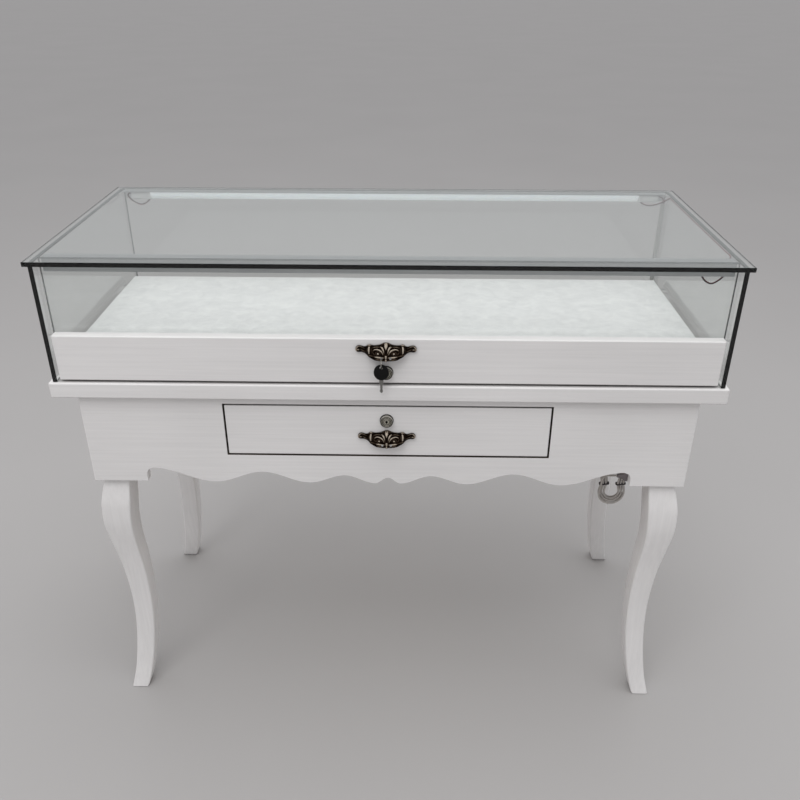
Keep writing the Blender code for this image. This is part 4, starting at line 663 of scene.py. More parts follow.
BUNDLE_ASIDE = HANK_INNER + (HANK_LOOPS - 0.5) / 4 * HANK_STEP - HANK_WAIST

rings = [ring_at(plug_spot + Vector((SEAT + PLUG_LENGTH * share, 0.0, 0.0)), 0, PLUG_SIZES, size)
         for share, size in PLUG_SECTIONS]
plug = mesh_piece("mains_plug", skin_rings(rings), CLEAR_GREY, 50)
dress(plug, "showcase_frame", "clear_grey_lead", "power_plug")

pins = bmesh.new()
ties = bmesh.new()
for side in (-1, 1):
    root = plug_spot + Vector((PLUG_LENGTH, 0.0, side * PIN_ASIDE))
    skin_rings([ring_at(root + Vector((along * MM, 0.0, 0.0)), 0, PIN_SIZES, size, 3)
                for along, size in PIN_SECTIONS], pins)
    bundle = HANK_MIDDLE + Vector((side * BUNDLE_ASIDE, 0.0, 0.0))
    rings = []
    for height, grow in TIE_SECTIONS:
        section = rounded_ring(*[(half + grow) * MM for half in TIE_HALF], TIE_CORNER, 6)
        rings.append([bundle + Vector((a, b, height * TIE_HEIGHT + TIE_SLANT * a)) for a, b in section])
    skin_rings(rings, ties)
pins = mesh_piece("mains_plug_pins", pins, PLATED_ZINC, 40)
dress(pins, "showcase_frame", "chromed_zinc")
tie = mesh_piece("hank_tie", ties, TIE_COAT, 50)
dress(tie, "showcase_frame", "black_moulded_plastic")
print("plug at", [round(x, 3) for x in plug_spot])

# %% [markdown]
# ## Legs
# Each leg is sawn from one square post into a slow S, slim above the foot and full at the knee,
# and then its corners are rounded. The frame has it as a few square levels. Those levels give
# the curve, and a smooth line through them with a rounded square on it gives the sawn leg.

# %% Legs
LEG_STEP = 6 * MM
LEG_CORNER = 3.5 * MM
FOOT_ROUND = ((2.2, 0.0), (1.0, 0.5), (0.3, 1.4))   # how far in and how high, in mm


def sawn_leg(node):
    """The leg's levels from the frame, skinned again with small steps and round corners."""
    levels = {}
    for vertex in frame["nodes"][node].data.vertices:
        levels.setdefault(round(vertex.co.z, 4), []).append(vertex.co)
    stations = []
    for height in sorted(levels):
        xs = [spot.x for spot in levels[height]]
        ys = [spot.y for spot in levels[height]]
        stations.append(((min(xs) + max(xs)) / 2, (min(ys) + max(ys)) / 2, height, max(xs) - min(xs)))
    route = through(stations, LEG_STEP)
    rings = []
    for inset, lift in FOOT_ROUND:
        half = route[0][3] / 2 - inset * MM
        rings.append(ring_at(route[0].xyz + Vector((0.0, 0.0, lift * MM)), 2, (half, half, LEG_CORNER)))
    for spot in route[1:]:
        rings.append(ring_at(spot.xyz, 2, (spot[3] / 2, spot[3] / 2, LEG_CORNER)))
    leg = mesh_piece("sawn_" + node, skin_rings(rings), LACQUER_Z, 40)
    return dress(leg, "showcase_frame", "white_lacquered_wood", node)


for corner in ("front_left_leg", "front_right_leg", "back_left_leg", "back_right_leg"):
    sawn_leg(corner)

# %% [markdown]
# ## Aprons
# The aprons are boards whose lower edge is bandsawn into a row of swells. Each swell is half a
# wave between two points, so the outline is drawn from the same few crests and hollows as the
# frame, with many more steps, and then its edges are eased with a little round.

# %% Aprons
# crests and hollows from the middle outwards: share of half the length, and rise in metres
LONG_WAVE = [(0, 0.0126), (0.043, 0), (0.145, 0.017), (0.265, 0), (0.423, 0.023), (0.584, 0), (0.794, 0.0295)]
LONG_EDGE = 0.817
SHORT_WAVE = [(0, 0.017), (0.266, 0), (0.555, 0.0295)]
SHORT_EDGE = 0.615
SWELL_STEPS = 20
SHOULDER_BACK = 0.35   # where the last swell's shoulder is, and how high it and the edge are
SHOULDER_RISE = 0.88
EDGE_RISE = 0.60


def scalloped_edge(half, wave, edge):
    """The lower edge from the middle outwards as (offset, rise)."""
    points = []
    for (start, rise), (stop, next_rise) in zip(wave, wave[1:]):
        for index in range(SWELL_STEPS):
            share = index / SWELL_STEPS
            swell = (1 - math.cos(math.pi * share)) / 2
            points.append((half * (start + (stop - start) * share), rise + (next_rise - rise) * swell))
    last, rise = wave[-1]
    points.append((half * last, rise))
    shoulder = edge - SHOULDER_BACK * (edge - last)
    points += [(half * shoulder, SHOULDER_RISE * rise), (half * edge, EDGE_RISE * rise), (half * edge, 0.0)]
    return points


def scalloped_board(node, along, wave, edge, finish):
    """An apron in the box of its node, drawn along X or Y."""
    lowest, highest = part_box(node)
    middle = (lowest[along] + highest[along]) / 2
    half = (highest[along] - lowest[along]) / 2
    lower = scalloped_edge(half, wave, edge) + [(half, 0.0)]
    line = [(middle - offset, lowest.z + rise) for offset, rise in reversed(lower)]
    line += [(middle + offset, lowest.z + rise) for offset, rise in lower[1:]]
    line += [(highest[along], highest.z), (lowest[along], highest.z)]
    other = 1 - along
    shape = drawn_out(line, other, lowest[other], highest[other])
    return mesh_piece("scalloped_" + node, shape, finish, 35)


OPENING_GAP = 3.0 * MM
CUT_ROOM = 20 * MM
APRON_EASE = 0.9 * MM
for node, along, wave, edge, finish in (("front_apron", 0, LONG_WAVE, LONG_EDGE, LACQUER_X),
                                        ("back_apron", 0, LONG_WAVE, LONG_EDGE, LACQUER_X),
                                        ("left_apron", 1, SHORT_WAVE, SHORT_EDGE, LACQUER_Y),
                                        ("right_apron", 1, SHORT_WAVE, SHORT_EDGE, LACQUER_Y)):
    board = scalloped_board(node, along, wave, edge, finish)
    if node == "front_apron":
        low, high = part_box("storage_drawer_front")
        left, right = low.x - OPENING_GAP, high.x + OPENING_GAP
        bottom, top = low.z - OPENING_GAP, high.z + OPENING_GAP
        opening = [(left, bottom), (right, bottom), (right, top), (left, top)]
        # the opening's cut walls: bare board with painted shade
        cut_with(board, drawn_out(opening, 1, low.y - CUT_ROOM, high.y + CUT_ROOM), BARE_BOARD_PAINTED_SHADE)
    dress(round_edges(board, APRON_EASE, 2), "showcase_frame", "white_lacquered_wood", node)

# %% [markdown]
# ## Boards with eased edges
# The plinth, the drawer fronts and the boxes are plain boards, so the frame's own shape is right.
# What it lacks is the small round that sanding and lacquer leave on every edge, which catches a
# line of light. A copy of the node is welded, its flat triangles are joined to whole faces, and
# a bevel rounds what is left.


# %% Eased boards
def welded_copy(node, name, finish):
    """A copy of a frame node whose loose triangles are joined to whole faces."""
    shape = bmesh.new()
    shape.from_mesh(frame["nodes"][node].data)
    bmesh.ops.remove_doubles(shape, verts=shape.verts[:], dist=2e-5)
    bmesh.ops.dissolve_limit(shape, angle_limit=math.radians(1.0), verts=shape.verts[:],
                             edges=shape.edges[:])
    return mesh_piece(name, shape, finish)


def eased_copy(node, name, finish, width, segments=2):
    """A welded copy of a frame node with its edges rounded."""
    return round_edges(welded_copy(node, name, finish), width, segments)


FACES_BACK = 0.7   # a face whose normal has more than this along the depth is a front's or a back's
EASED = (
    ("plinth_board", "showcase_frame", LACQUER_X, 1.2, "white_lacquered_wood"),
    ("display_drawer_front", "display_drawer", LACQUER_X, 0.8, "white_lacquered_wood"),
    ("display_tray", "display_drawer", LACQUER_X, 0.5, "white_lacquered_wood"),
    ("storage_drawer_front", "storage_drawer", LACQUER_X, 0.8, "white_lacquered_wood"),
    ("storage_drawer_box", "storage_drawer", BIRCH_Y, 0.6, "bare_birch_board"),
    ("storage_drawer_bottom", "storage_drawer", BIRCH_X, 0.3, "bare_birch_board"),
    ("drawer_cheek_left", "showcase_frame", BIRCH_Y, 0.6, "bare_birch_board"),
    ("drawer_cheek_right", "showcase_frame", BIRCH_Y, 0.6, "bare_birch_board"),
    ("cable_conduit", "showcase_frame", WHITE_ABS_PAINTED_SHADE, 0.8, "white_moulded_plastic"),
    ("light_driver", "showcase_frame", WHITE_ABS, 1.2, "white_moulded_plastic"),
    ("plinth_grommet", "showcase_frame", BLACK_ABS, 0.5, "black_moulded_plastic"),
)
for node, body, finish, width, slot_name in EASED:
    board = eased_copy(node, "eased_" + node, finish, width * MM)
    if node == "storage_drawer_box":
        board.data.materials.append(BIRCH_X)   # its back board's grain runs across the drawer
        for face in board.data.polygons:
            face.material_index = 1 if abs(face.normal.y) > FACES_BACK else 0
    dress(board, body, slot_name, node)

# %% [markdown]
# ## Glass panes
# A pane is cut, its faces stay as they came from the float bath, and its sharp edges are ground
# to a small flat chamfer so that nobody is cut. The bevel makes that chamfer and gives it a
# near-black colour, painted shade, or at the back of the case a paler one, painted lighter as if
# lit from behind. The upper edges of the standing panes, which the top is glued to, get the glue's.

# %% Glass panes
PANE_CHAMFER = {"top": 1.1 * MM, "left": 0.8 * MM, "right": 0.8 * MM, "back": 0.8 * MM, "front": 0.8 * MM}
BACK_OF_CASE = 0.23   # edges further back than this are lit from behind
for side, width in PANE_CHAMFER.items():
    pane = welded_copy("glass_" + side, "float_glass_" + side, GLASS)
    for finish in (PAINTED_DARK_CHAMFER, GLUE_LINE, PAINTED_LIT_CHAMFER):
        pane.data.materials.append(finish)
    for face in pane.data.polygons:
        if side != "top" and face.normal.z > 0.9:
            face.material_index = 2
    round_edges(pane, width, 1, finish_index=1)
    # painted light: the back edges' chamfers take the paler copy, as if lit from behind
    for face in pane.data.polygons:
        if face.material_index == 1 and face.center.y > BACK_OF_CASE:
            face.material_index = 3
    dress(pane, "showcase_frame", "clear_float_glass", "glass_" + side)

# %% [markdown]
# ## Cast pulls
# The two pulls are small castings: a cup that hides the fingers, with leaves, beads and scrolls
# in relief, and a flat leaf on either end. Modelling each leaf by hand would take long and leave
# seams. Instead the casting is one sheet of fine columns and rows. Strokes are laid on it like
# beads of clay, the highest stroke wins at each point, and the sheet is pushed out by that much.

# %% Shape of the casting
PULL_HALF = 53.0      # in mm, as all sizes of the casting below
PULL_ARC = 38.0       # length of the cup's arc from its top edge down to its rim
CAST_COLUMNS = 281
CAST_ROWS = 73
CAST_WALL = 1.5       # how far its back is from its face
RUBBED_AT = 1.9       # relief of this height is rubbed fully bright
EYE_ASIDE = 7.9       # where the eyes for a ring are, and half their width and height
EYE_UP = 5.7
EYE_HALF = (2.2, 2.9)
EYE_CUT = (30.0, 10.0)   # the cut runs from so far out to so far out
STROKE_STEP = 0.35
STROKE_FULL = 1.6     # a stroke of at least this half width reaches its full height


def soft_step(value, start, stop):
    """From 0 to 1 between two values, with soft ends."""
    share = np.clip((value - start) / (stop - start), 0.0, 1.0)
    return share * share * (3 - 2 * share)


def cast_sheet():
    """The bare casting: arrays of across, out and up over columns and rows, in mm."""
    across = np.linspace(-PULL_HALF, PULL_HALF, CAST_COLUMNS)[:, None]
    down = np.linspace(0.0, 1.0, CAST_ROWS)[None, :]
    side = np.abs(across)
    rim = np.interp(side, [0, 3, 12, 19, 28, 34, 38], [0.0, 0.7, 0.8, 1.5, 5.4, 8.6, 10.6])
    crest = np.interp(side, [0, 3, 6, 10, 14, 21, 25, 28.5, 32, 36, 38],
                      [27.8, 27.4, 26.2, 24.4, 23.6, 22.8, 23.6, 24.6, 23.4, 20.6, 20.0])
    reach = 17.6 * np.sqrt(np.clip(1.0 - 0.78 * (side / 34.0) ** 2, 0.12, 1.0))
    cup_out = reach * np.sin(np.pi / 2 * down)
    cup_up = rim + (crest - rim) * np.cos(np.pi / 2 * down)
    wing_low = np.interp(side, [34, 37, 40, 43, 46.5, 50, 52.2, 53.0],
                         [6.4, 8.6, 10.4, 10.8, 10.2, 10.8, 13.0, 15.8])
    wing_high = np.interp(side, [34, 36.5, 39, 42, 46, 49.5, 51.8, 52.7, 53.0],
                          [22.0, 21.2, 21.4, 22.6, 23.6, 22.8, 20.2, 18.0, 16.2])
    dome = np.interp(side, [34, 37, 40, 46, 50, 52.4, 53.0], [5.6, 5.2, 5.0, 5.4, 4.4, 2.0, 0.4])
    wing_out = 1.0 + dome * np.sin(np.pi * down)
    wing_up = wing_high + (wing_low - wing_high) * down
    share = soft_step(side, 30.0, 37.0)
    out = cup_out * (1 - share) + wing_out * share
    up = cup_up * (1 - share) + wing_up * share
    return across + 0.0 * down, out, up, side + 0.0 * down, down + 0.0 * across


def bead(side, down, line, sizes, height):
    """A rounded stroke along a line of (across mm, share of the arc), as a height in mm."""
    route = through([(x, share * PULL_ARC, 0.0) for x, share in line], STROKE_STEP)
    widths = np.interp(np.linspace(0, 1, len(route)), np.linspace(0, 1, len(sizes)), sizes)
    raised = np.zeros_like(side)
    for spot, width in zip(route, widths):
        apart = ((side - spot.x) ** 2 + (down * PULL_ARC - spot.y) ** 2) / width ** 2
        dome = np.sqrt(np.clip(1.0 - apart, 0.0, 1.0)) * min(1.0, width / STROKE_FULL)
        raised = np.maximum(raised, dome)
    return raised * height


# %% [markdown]
# The ornament is the usual one for such a pull: a drop in the middle with a petal on each side
# of it, two long leaves, an eye in each leaf, a beaded rim, a scroll at each end of the cup and
# a veined leaf on each wing. Each row below is one stroke, and it is mirrored by itself because
# the sheet measures its distance from the middle.

# %% Ornament of the casting
STROKES = (
    ([(0, 0.15), (0, 0.27), (0, 0.50)], (2.9, 3.1, 0.8), 2.0),
    ([(3.2, 0.66), (4.2, 0.52), (6.4, 0.37), (9.0, 0.27)], (0.9, 1.4, 1.8, 1.0), 1.8),
    ([(4.6, 0.71), (7.2, 0.57), (11.0, 0.46), (15.6, 0.41), (19.6, 0.43), (22.0, 0.51)],
     (0.9, 1.2, 1.6, 1.7, 1.4, 0.8), 1.8),
    ([(10.6, 0.29), (14.6, 0.24), (19.6, 0.25), (23.4, 0.32)], (0.8, 1.2, 1.2, 0.7), 1.3),
    ([(13.4, 0.645), (13.7, 0.645)], (2.0, 2.0), 1.9),
    ([(9.6, 0.67), (10.6, 0.575), (13.6, 0.535), (17.0, 0.58), (17.6, 0.68), (14.6, 0.745), (11.2, 0.735)],
     (0.7, 0.8, 0.9, 0.9, 0.9, 0.8, 0.7), 1.2),
    ([(19.6, 0.72), (21.4, 0.65), (23.2, 0.58)], (0.8, 1.1, 0.7), 1.1),
    ([(3.8, 0.845), (8.0, 0.83), (14.0, 0.82), (19.5, 0.81)], (0.9, 1.7, 1.8, 0.8), 1.9),
    ([(4.4, 0.945), (9.0, 0.94), (14.0, 0.935), (18.5, 0.93)], (0.8, 1.2, 1.2, 0.7), 1.3),
    ([(20.5, 0.80), (25.0, 0.84), (30.0, 0.90), (34.0, 0.93)], (0.8, 1.2, 1.1, 0.8), 1.2),
    ([(0, 0.80), (0, 0.83)], (2.2, 2.2), 1.9),
    ([(0, 0.93), (0, 0.985)], (1.7, 1.4), 1.7),
    ([(1.6, 0.69), (2.6, 0.75)], (0.8, 0.9), 0.9),
    ([(28.4, 0.33), (29.2, 0.52), (28.6, 0.76)], (1.4, 2.0, 1.3), 2.0),
    ([(28.4, 0.17), (28.6, 0.17)], (2.5, 2.5), 2.0),
    ([(24.8, 0.12), (28.4, 0.05), (31.8, 0.13), (32.0, 0.24)], (0.8, 1.1, 1.1, 0.7), 1.2),
    ([(24.6, 0.36), (25.2, 0.55), (24.6, 0.72)], (0.7, 0.9, 0.7), 0.9),
    ([(32.6, 0.34), (33.4, 0.52), (32.8, 0.70)], (0.7, 0.9, 0.7), 0.9),
    ([(0.0, 0.02), (4.0, 0.025), (8.0, 0.04), (12.0, 0.05), (18.0, 0.05), (23.0, 0.05)],
     (1.2, 1.2, 1.0, 0.9, 0.9, 0.8), 1.1),
    ([(3.0, 0.10), (5.5, 0.12), (7.6, 0.17)], (0.9, 1.2, 0.7), 1.2),
    ([(35.4, 0.52), (38.5, 0.50), (41.5, 0.46), (44.0, 0.40)], (0.9, 1.2, 1.2, 0.7), 1.5),
    ([(36.5, 0.20), (40.5, 0.17), (44.5, 0.12), (48.4, 0.15), (51.0, 0.35), (50.4, 0.62), (47.6, 0.76)],
     (0.7, 1.1, 1.4, 1.5, 1.4, 1.2, 0.7), 1.8),
    ([(35.0, 0.84), (38.5, 0.80), (41.5, 0.82), (44.5, 0.86)], (0.7, 1.1, 1.0, 0.7), 1.4),
    ([(47.4, 0.44), (47.8, 0.44)], (2.3, 2.3), 1.6),
)


def cast_skins():
    """The casting's face and back as arrays of points in mm, and how far the face stands out."""
    across, out, up, side, down = cast_sheet()
    raised = np.zeros_like(side)
    for line, sizes, height in STROKES:
        raised = np.maximum(raised, bead(side, down, line, sizes, height))
    sheet = np.stack([across, out, up])
    normal = np.cross(np.gradient(sheet, axis=2), np.gradient(sheet, axis=1), axis=0)
    normal /= np.linalg.norm(normal, axis=0)
    normal *= np.where(normal[1] < 0, -1.0, 1.0)
    face = sheet + normal * raised
    back = sheet - normal * CAST_WALL
    face[1] = np.maximum(face[1], 0.0)
    back[1] = np.clip(back[1], 0.0, face[1])
    return face, back, raised


CAST_FACE, CAST_BACK, CAST_RELIEF = cast_skins()
print("casting of", CAST_COLUMNS, "x", CAST_ROWS, "points with", len(STROKES), "strokes")


# %% Pulls
def cast_pull(name, node, body):
    """One casting in the place of its node, with the eyes for a ring pierced above its rim."""
    lowest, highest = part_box(node)
    middle = (lowest.x + highest.x) / 2
    shape = bmesh.new()
    stands = shape.verts.layers.float.new("standing_out")
    sheets = []
    for skin, relief in ((CAST_FACE, CAST_RELIEF), (CAST_BACK, np.zeros_like(CAST_RELIEF))):
        grid = []
        for column in range(CAST_COLUMNS):
            line = []
            for row in range(CAST_ROWS):
                x, y, z = skin[:, column, row] * MM
                vertex = shape.verts.new((middle + x, highest.y - y, lowest.z + z))
                vertex[stands] = min(1.0, relief[column, row] / RUBBED_AT)
                line.append(vertex)
            grid.append(line)
        sheets.append(grid)
    for grid in sheets:
        for left, right in zip(grid, grid[1:]):
            for row in range(CAST_ROWS - 1):
                shape.faces.new((left[row], right[row], right[row + 1], left[row + 1]))
    borders = []
    for grid in sheets:
        border = [line[-1] for line in grid] + list(reversed(grid[-1][:-1]))
        borders.append(border + [line[0] for line in reversed(grid[:-1])] + grid[0][1:-1])
    for index in range(len(borders[0])):
        after = (index + 1) % len(borders[0])
        shape.faces.new((borders[0][index], borders[0][after], borders[1][after], borders[1][index]))
    bmesh.ops.recalc_face_normals(shape, faces=shape.faces[:])
    pull = mesh_piece(name, shape, BRONZE, 60)
    for eye in (-EYE_ASIDE, EYE_ASIDE):
        oval = [(eye + EYE_HALF[0] * a, EYE_UP + EYE_HALF[1] * b) for a, b in circle((0, 0), 1.0, 24)]
        oval = in_mm(oval, (middle, lowest.z))
        cut_with(pull, drawn_out(oval, 1, *[highest.y - out * MM for out in EYE_CUT]))
    return dress(pull, body, "antique_bronze", node)


cast_pull("cast_display_pull", "display_pull", "display_drawer")
cast_pull("cast_storage_pull", "storage_pull", "storage_drawer")

# %% [markdown]
# ## Cam locks
# Both drawers have a round cam lock. Its head is turned: a bright side, a rounded lip, grooves
# coloured dark as painted shade, a washer in the same dark colour that draws a dark rim, and a satin
# face, with a separate plug in the middle that turns with the key, its keyway also painted dark. A
# profile spun about the lock's axis is exactly how it is made, and the keyway is cut into the plug
# after. Which of the three finishes a face gets follows from its place on the profile.

# %% Locks
LOCK_HEAD = ((5.7, 6.9), (5.8, 7.6), (6.1, 7.9), (6.8, 7.9), (7.1, 7.6), (7.2, 6.6), (8.3, 6.6), (8.4, 7.6),
             (8.7, 7.9), (9.2, 7.9), (9.5, 7.6), (9.6, 6.4), (10.8, 6.4), (10.9, 7.7), (11.1, 8.0),
             (11.3, 7.9), (11.45, 7.5), (11.5, 6.9), (11.55, 1.1), (12.3, 1.0), (12.5, 0.7), (12.5, 0.05),
             (8.0, 0.05), (8.0, -20.0), (5.7, -20.0), (5.7, 6.9))
LOCK_PLUG = ((0.0, 6.7), (2.2, 6.7), (2.4, 7.2), (2.7, 7.4), (4.4, 7.4), (4.7, 7.2), (4.9, 6.5), (5.4, 6.4),
             (5.45, 6.2), (5.45, -19.6), (3.0, -19.7), (3.0, -24.0), (0.0, -24.0))
LOCK_GROOVES = ((0.0, 2.3), (4.75, 5.75), (7.15, 8.35), (9.55, 10.85))   # from and to which radius, in mm
KEYWAY = ((-0.5, -3.0), (0.5, -3.0), (1.1, -2.6), (1.1, -1.0), (0.5, -0.6), (0.5, 0.4),
          (1.1, 0.8), (1.1, 2.6), (0.5, 3.0), (-0.5, 3.0), (-1.1, 2.6), (-1.1, -2.6))
KEYWAY_CUT = (20 * MM, -2 * MM)   # how far out of the drawer's front the cut begins and ends
WASHER_FROM = 11.6   # from this radius on, in mm, it is the washer
FACES_FRONT = -0.6   # a face whose normal has less than this along the depth is a front's
FACE_OUT = 6.0 * MM
LOCK_HEAD_LENGTH = 8.0 * MM


def turned_lock_part(name, profile, place, steps):
    """A turned piece of the lock: bright on its side, satin on its face, with painted shade in its grooves
    and a dark rim.
    """
    part = mesh_piece(name, turned_out(in_mm(profile), place, steps), PLATED_ZINC, 28)
    part.data.materials.append(SATIN_ZINC)
    part.data.materials.append(PAINTED_SHADE_ZINC)
    for face in part.data.polygons:
        radius = math.hypot(face.center.x - place[0], face.center.z - place[2]) / MM
        if place[1] - face.center.y > FACE_OUT:
            # painted shade: faces in the grooves take the dark finish
            if any(inner < radius < outer for inner, outer in LOCK_GROOVES):
                face.material_index = 2
            elif face.normal.y < FACES_FRONT:
                face.material_index = 1
        # the washer takes the same dark finish, which draws a dark rim round the head
        elif radius > WASHER_FROM:
            face.material_index = 2
    return part


def cam_lock(word, body, plug_body, place):
    """The head with its barrel and the turning plug, about one axis."""
    head = turned_lock_part("turned_" + word + "_lock", LOCK_HEAD, place, 72)
    dress(head, body, "chromed_zinc", word + "_lock_body")
    core = turned_lock_part("turned_" + word + "_plug", LOCK_PLUG, place, 56)
    keyway = in_mm(KEYWAY, (place[0], place[2]))
    # painted shade: the keyway's cut faces take the dark finish
    cut_with(core, drawn_out(keyway, 1, *[place[1] - out for out in KEYWAY_CUT]), PAINTED_SHADE_ZINC)
    dress(core, plug_body, "chromed_zinc", word + "_lock_plug")


LOCK_PLACES = {}
for word in ("display", "storage"):
    low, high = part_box(word + "_lock_body")
    LOCK_PLACES[word] = ((low.x + high.x) / 2, low.y + LOCK_HEAD_LENGTH, (low.z + high.z) / 2)
    cam_lock(word, word + "_drawer", word + "_lock_plug", LOCK_PLACES[word])

# %% [markdown]
# ## Key and ring
# A key hangs on a ring of spring wire in one eye of the upper pull. Its bow is black
# plastic moulded over the blank, with a raised rim round a flat panel, and its blade is plated,
# with a milled groove and cuts along both edges.

# %% Ring
RING_RADIUS = 7.5 * MM
RING_WIRE = 0.6 * MM
RING_STEPS = 72
low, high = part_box("key_ring")
RING_HANG = Vector(((low.x + high.x) / 2, (low.y + high.y) / 2, high.z - RING_WIRE))
KEY_HANG = RING_HANG - Vector((0.0, 0.0, 2 * RING_RADIUS))
rings = []
for step in range(RING_STEPS):
    turn = math.tau * step / RING_STEPS
    ring = []
    for outward, aside in circle((0.0, 0.0), RING_WIRE, 12):
        reach = RING_RADIUS + outward
        ring.append(RING_HANG + Vector((aside, reach * math.sin(turn), reach * math.cos(turn) - RING_RADIUS)))
    rings.append(ring)
ring = mesh_piece("wire_key_ring", skin_rings(rings, joined=True), PLATED_ZINC, 60)
dress(ring, "key_ring", "chromed_zinc", "key_ring")
print("ring hangs at", [round(x, 4) for x in RING_HANG], "key at", [round(x, 4) for x in KEY_HANG])

# %% Key
BOW_HALF = (13.0, 14.7)        # in mm, as all the key's sizes here; heights are from where it hangs
BOW_DOWN = 10.2
BOW_HOLE = (3.0, 1.3)          # its radius and how far down it is
PANEL_SHARES = (0.74, 0.66)    # the flat panel's width and height, as shares of the bow's
PANEL_DOWN = 1.6
BOW_THICK, PANEL_THICK, BLADE_THICK, GROOVE_THICK = 1.2, 0.75, 0.9, 0.45   # each from the middle to a face
BOW_EASE, BLADE_EASE = 0.35, 0.18
CUT_OUT = 3.0
GROOVE = ((-0.55, -46.5), (0.55, -46.5), (0.55, -27.0), (-0.55, -27.0))
BLADE = ((-2.75, -22.0), (-3.75, -26.5), (-3.75, -31.5), (-2.2, -33.6), (-2.2, -35.5), (-1.6, -36.3),
         (-2.1, -37.3), (-2.1, -39.4), (-1.5, -40.3), (-2.0, -41.4), (-2.0, -43.9), (-2.9, -45.6),
         (-2.4, -47.4), (-0.9, -49.7), (0.9, -49.7), (2.4, -47.4), (2.9, -45.6), (2.0, -43.9), (2.0, -42.2),
         (1.4, -41.2), (2.1, -40.1), (2.1, -38.0), (1.6, -37.1), (2.2, -36.0), (2.2, -33.6), (3.75, -31.5),
         (3.75, -26.5), (2.75, -22.0))


def key_slab(outline, start, stop):
    """An outline in mm from where the key hangs, drawn out between two depths in mm."""
    depths = [KEY_HANG.y + depth * MM for depth in (start, stop)]
    return drawn_out(in_mm(outline, (KEY_HANG.x, KEY_HANG.z)), 1, *depths)


round_line = circle((0.0, 0.0), 1.0, 64)
bow_line = [(BOW_HALF[0] * a, BOW_HALF[1] * b - BOW_DOWN) for a, b in round_line]
panel = [(PANEL_SHARES[0] * BOW_HALF[0] * a, PANEL_SHARES[1] * BOW_HALF[1] * b - BOW_DOWN - PANEL_DOWN)
         for a, b in round_line]
bow = mesh_piece("moulded_key_bow", key_slab(bow_line, -BOW_THICK, BOW_THICK), BOW_ABS)
blade = mesh_piece("milled_key_blade", key_slab(BLADE, -BLADE_THICK, BLADE_THICK), NICKEL)
for side in (-1, 1):
    cut_with(bow, key_slab(panel, side * PANEL_THICK, side * CUT_OUT))
    cut_with(blade, key_slab(GROOVE, side * GROOVE_THICK, side * CUT_OUT))
cut_with(bow, key_slab(circle((0.0, -BOW_HOLE[1]), BOW_HOLE[0], 32), -CUT_OUT, CUT_OUT))
dress(round_edges(bow, BOW_EASE * MM, 2), "drawer_key", "black_moulded_plastic", "drawer_key")
dress(round_edges(blade, BLADE_EASE * MM, 2), "drawer_key", "chromed_zinc")

# %% [markdown]
# ## Light bars
# Along the case's upper front and back edges runs a light: an aluminium angle with a quarter
# round opal cover, and a clear plastic sleeve over the wire's plug on each end. The covers and
# angles keep the frame's shape. The sleeves get their rounded moulded form, with a collar.

# %% Light bars
SLEEVE_SECTIONS = ((0.0, 0.95), (0.02, 1.0), (0.15, 1.0), (0.17, 0.90), (0.30, 0.90), (0.32, 0.93),
                   (0.36, 0.93), (0.38, 0.90), (0.44, 0.90), (0.46, 0.93), (0.50, 0.93), (0.52, 0.90),
                   (0.88, 0.90), (0.96, 0.84), (1.0, 0.72))
SLEEVE_CORNER = 3.0 * MM
COVER_EASE = 0.4 * MM
for bar in ("front", "back"):
    for slot_holder in frame["nodes"]["light_profile_" + bar].material_slots:
        slot_holder.material = ALUMINIUM
    cover = eased_copy("light_diffuser_" + bar, "opal_cover_" + bar, OPAL, COVER_EASE)
    dress(cover, "showcase_frame", "opal_acrylic", "light_diffuser_" + bar)
    for hand in ("left", "right"):
        node = "light_connector_" + bar + "_" + hand
        low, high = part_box(node)
        middle, half = (low + high) / 2, (high - low) / 2
        out = -half.x if hand == "left" else half.x
        rings = [ring_at((middle.x - out + 2 * out * share, middle.y, middle.z), 0,
                         (half.y, half.z, SLEEVE_CORNER), size) for share, size in SLEEVE_SECTIONS]
        sleeve = mesh_piece("moulded_sleeve_" + bar + "_" + hand, skin_rings(rings), CLEAR_SLEEVE, 50)
        dress(sleeve, "showcase_frame", "clear_moulded_plastic", node)

# %% [markdown]
# ## Wires
# The lights are joined by twin wires, one red core and one black, and fed by a flat clear lead
# from below. A wire follows a path, so Geometry Nodes sweep it: the path's points go in as a
# line of edges, and two small circles side by side are drawn along it, each with its own finish.
# The same tree draws every wire, with other sizes and finishes.


# %% Wire tree
def new_tree(name, **inputs):
    """A Geometry Nodes tree with named inputs of these kinds, and the node that hands them in."""
    tree = bpy.data.node_groups.new(name, "GeometryNodeTree")
    for key, kind in {"Geometry": "Geometry", **inputs}.items():
        tree.interface.new_socket(key.replace("_", " "), in_out="INPUT", socket_type="NodeSocket" + kind)
    tree.interface.new_socket("Geometry", in_out="OUTPUT", socket_type="NodeSocketGeometry")
    return tree, add_node(tree, "NodeGroupInput")


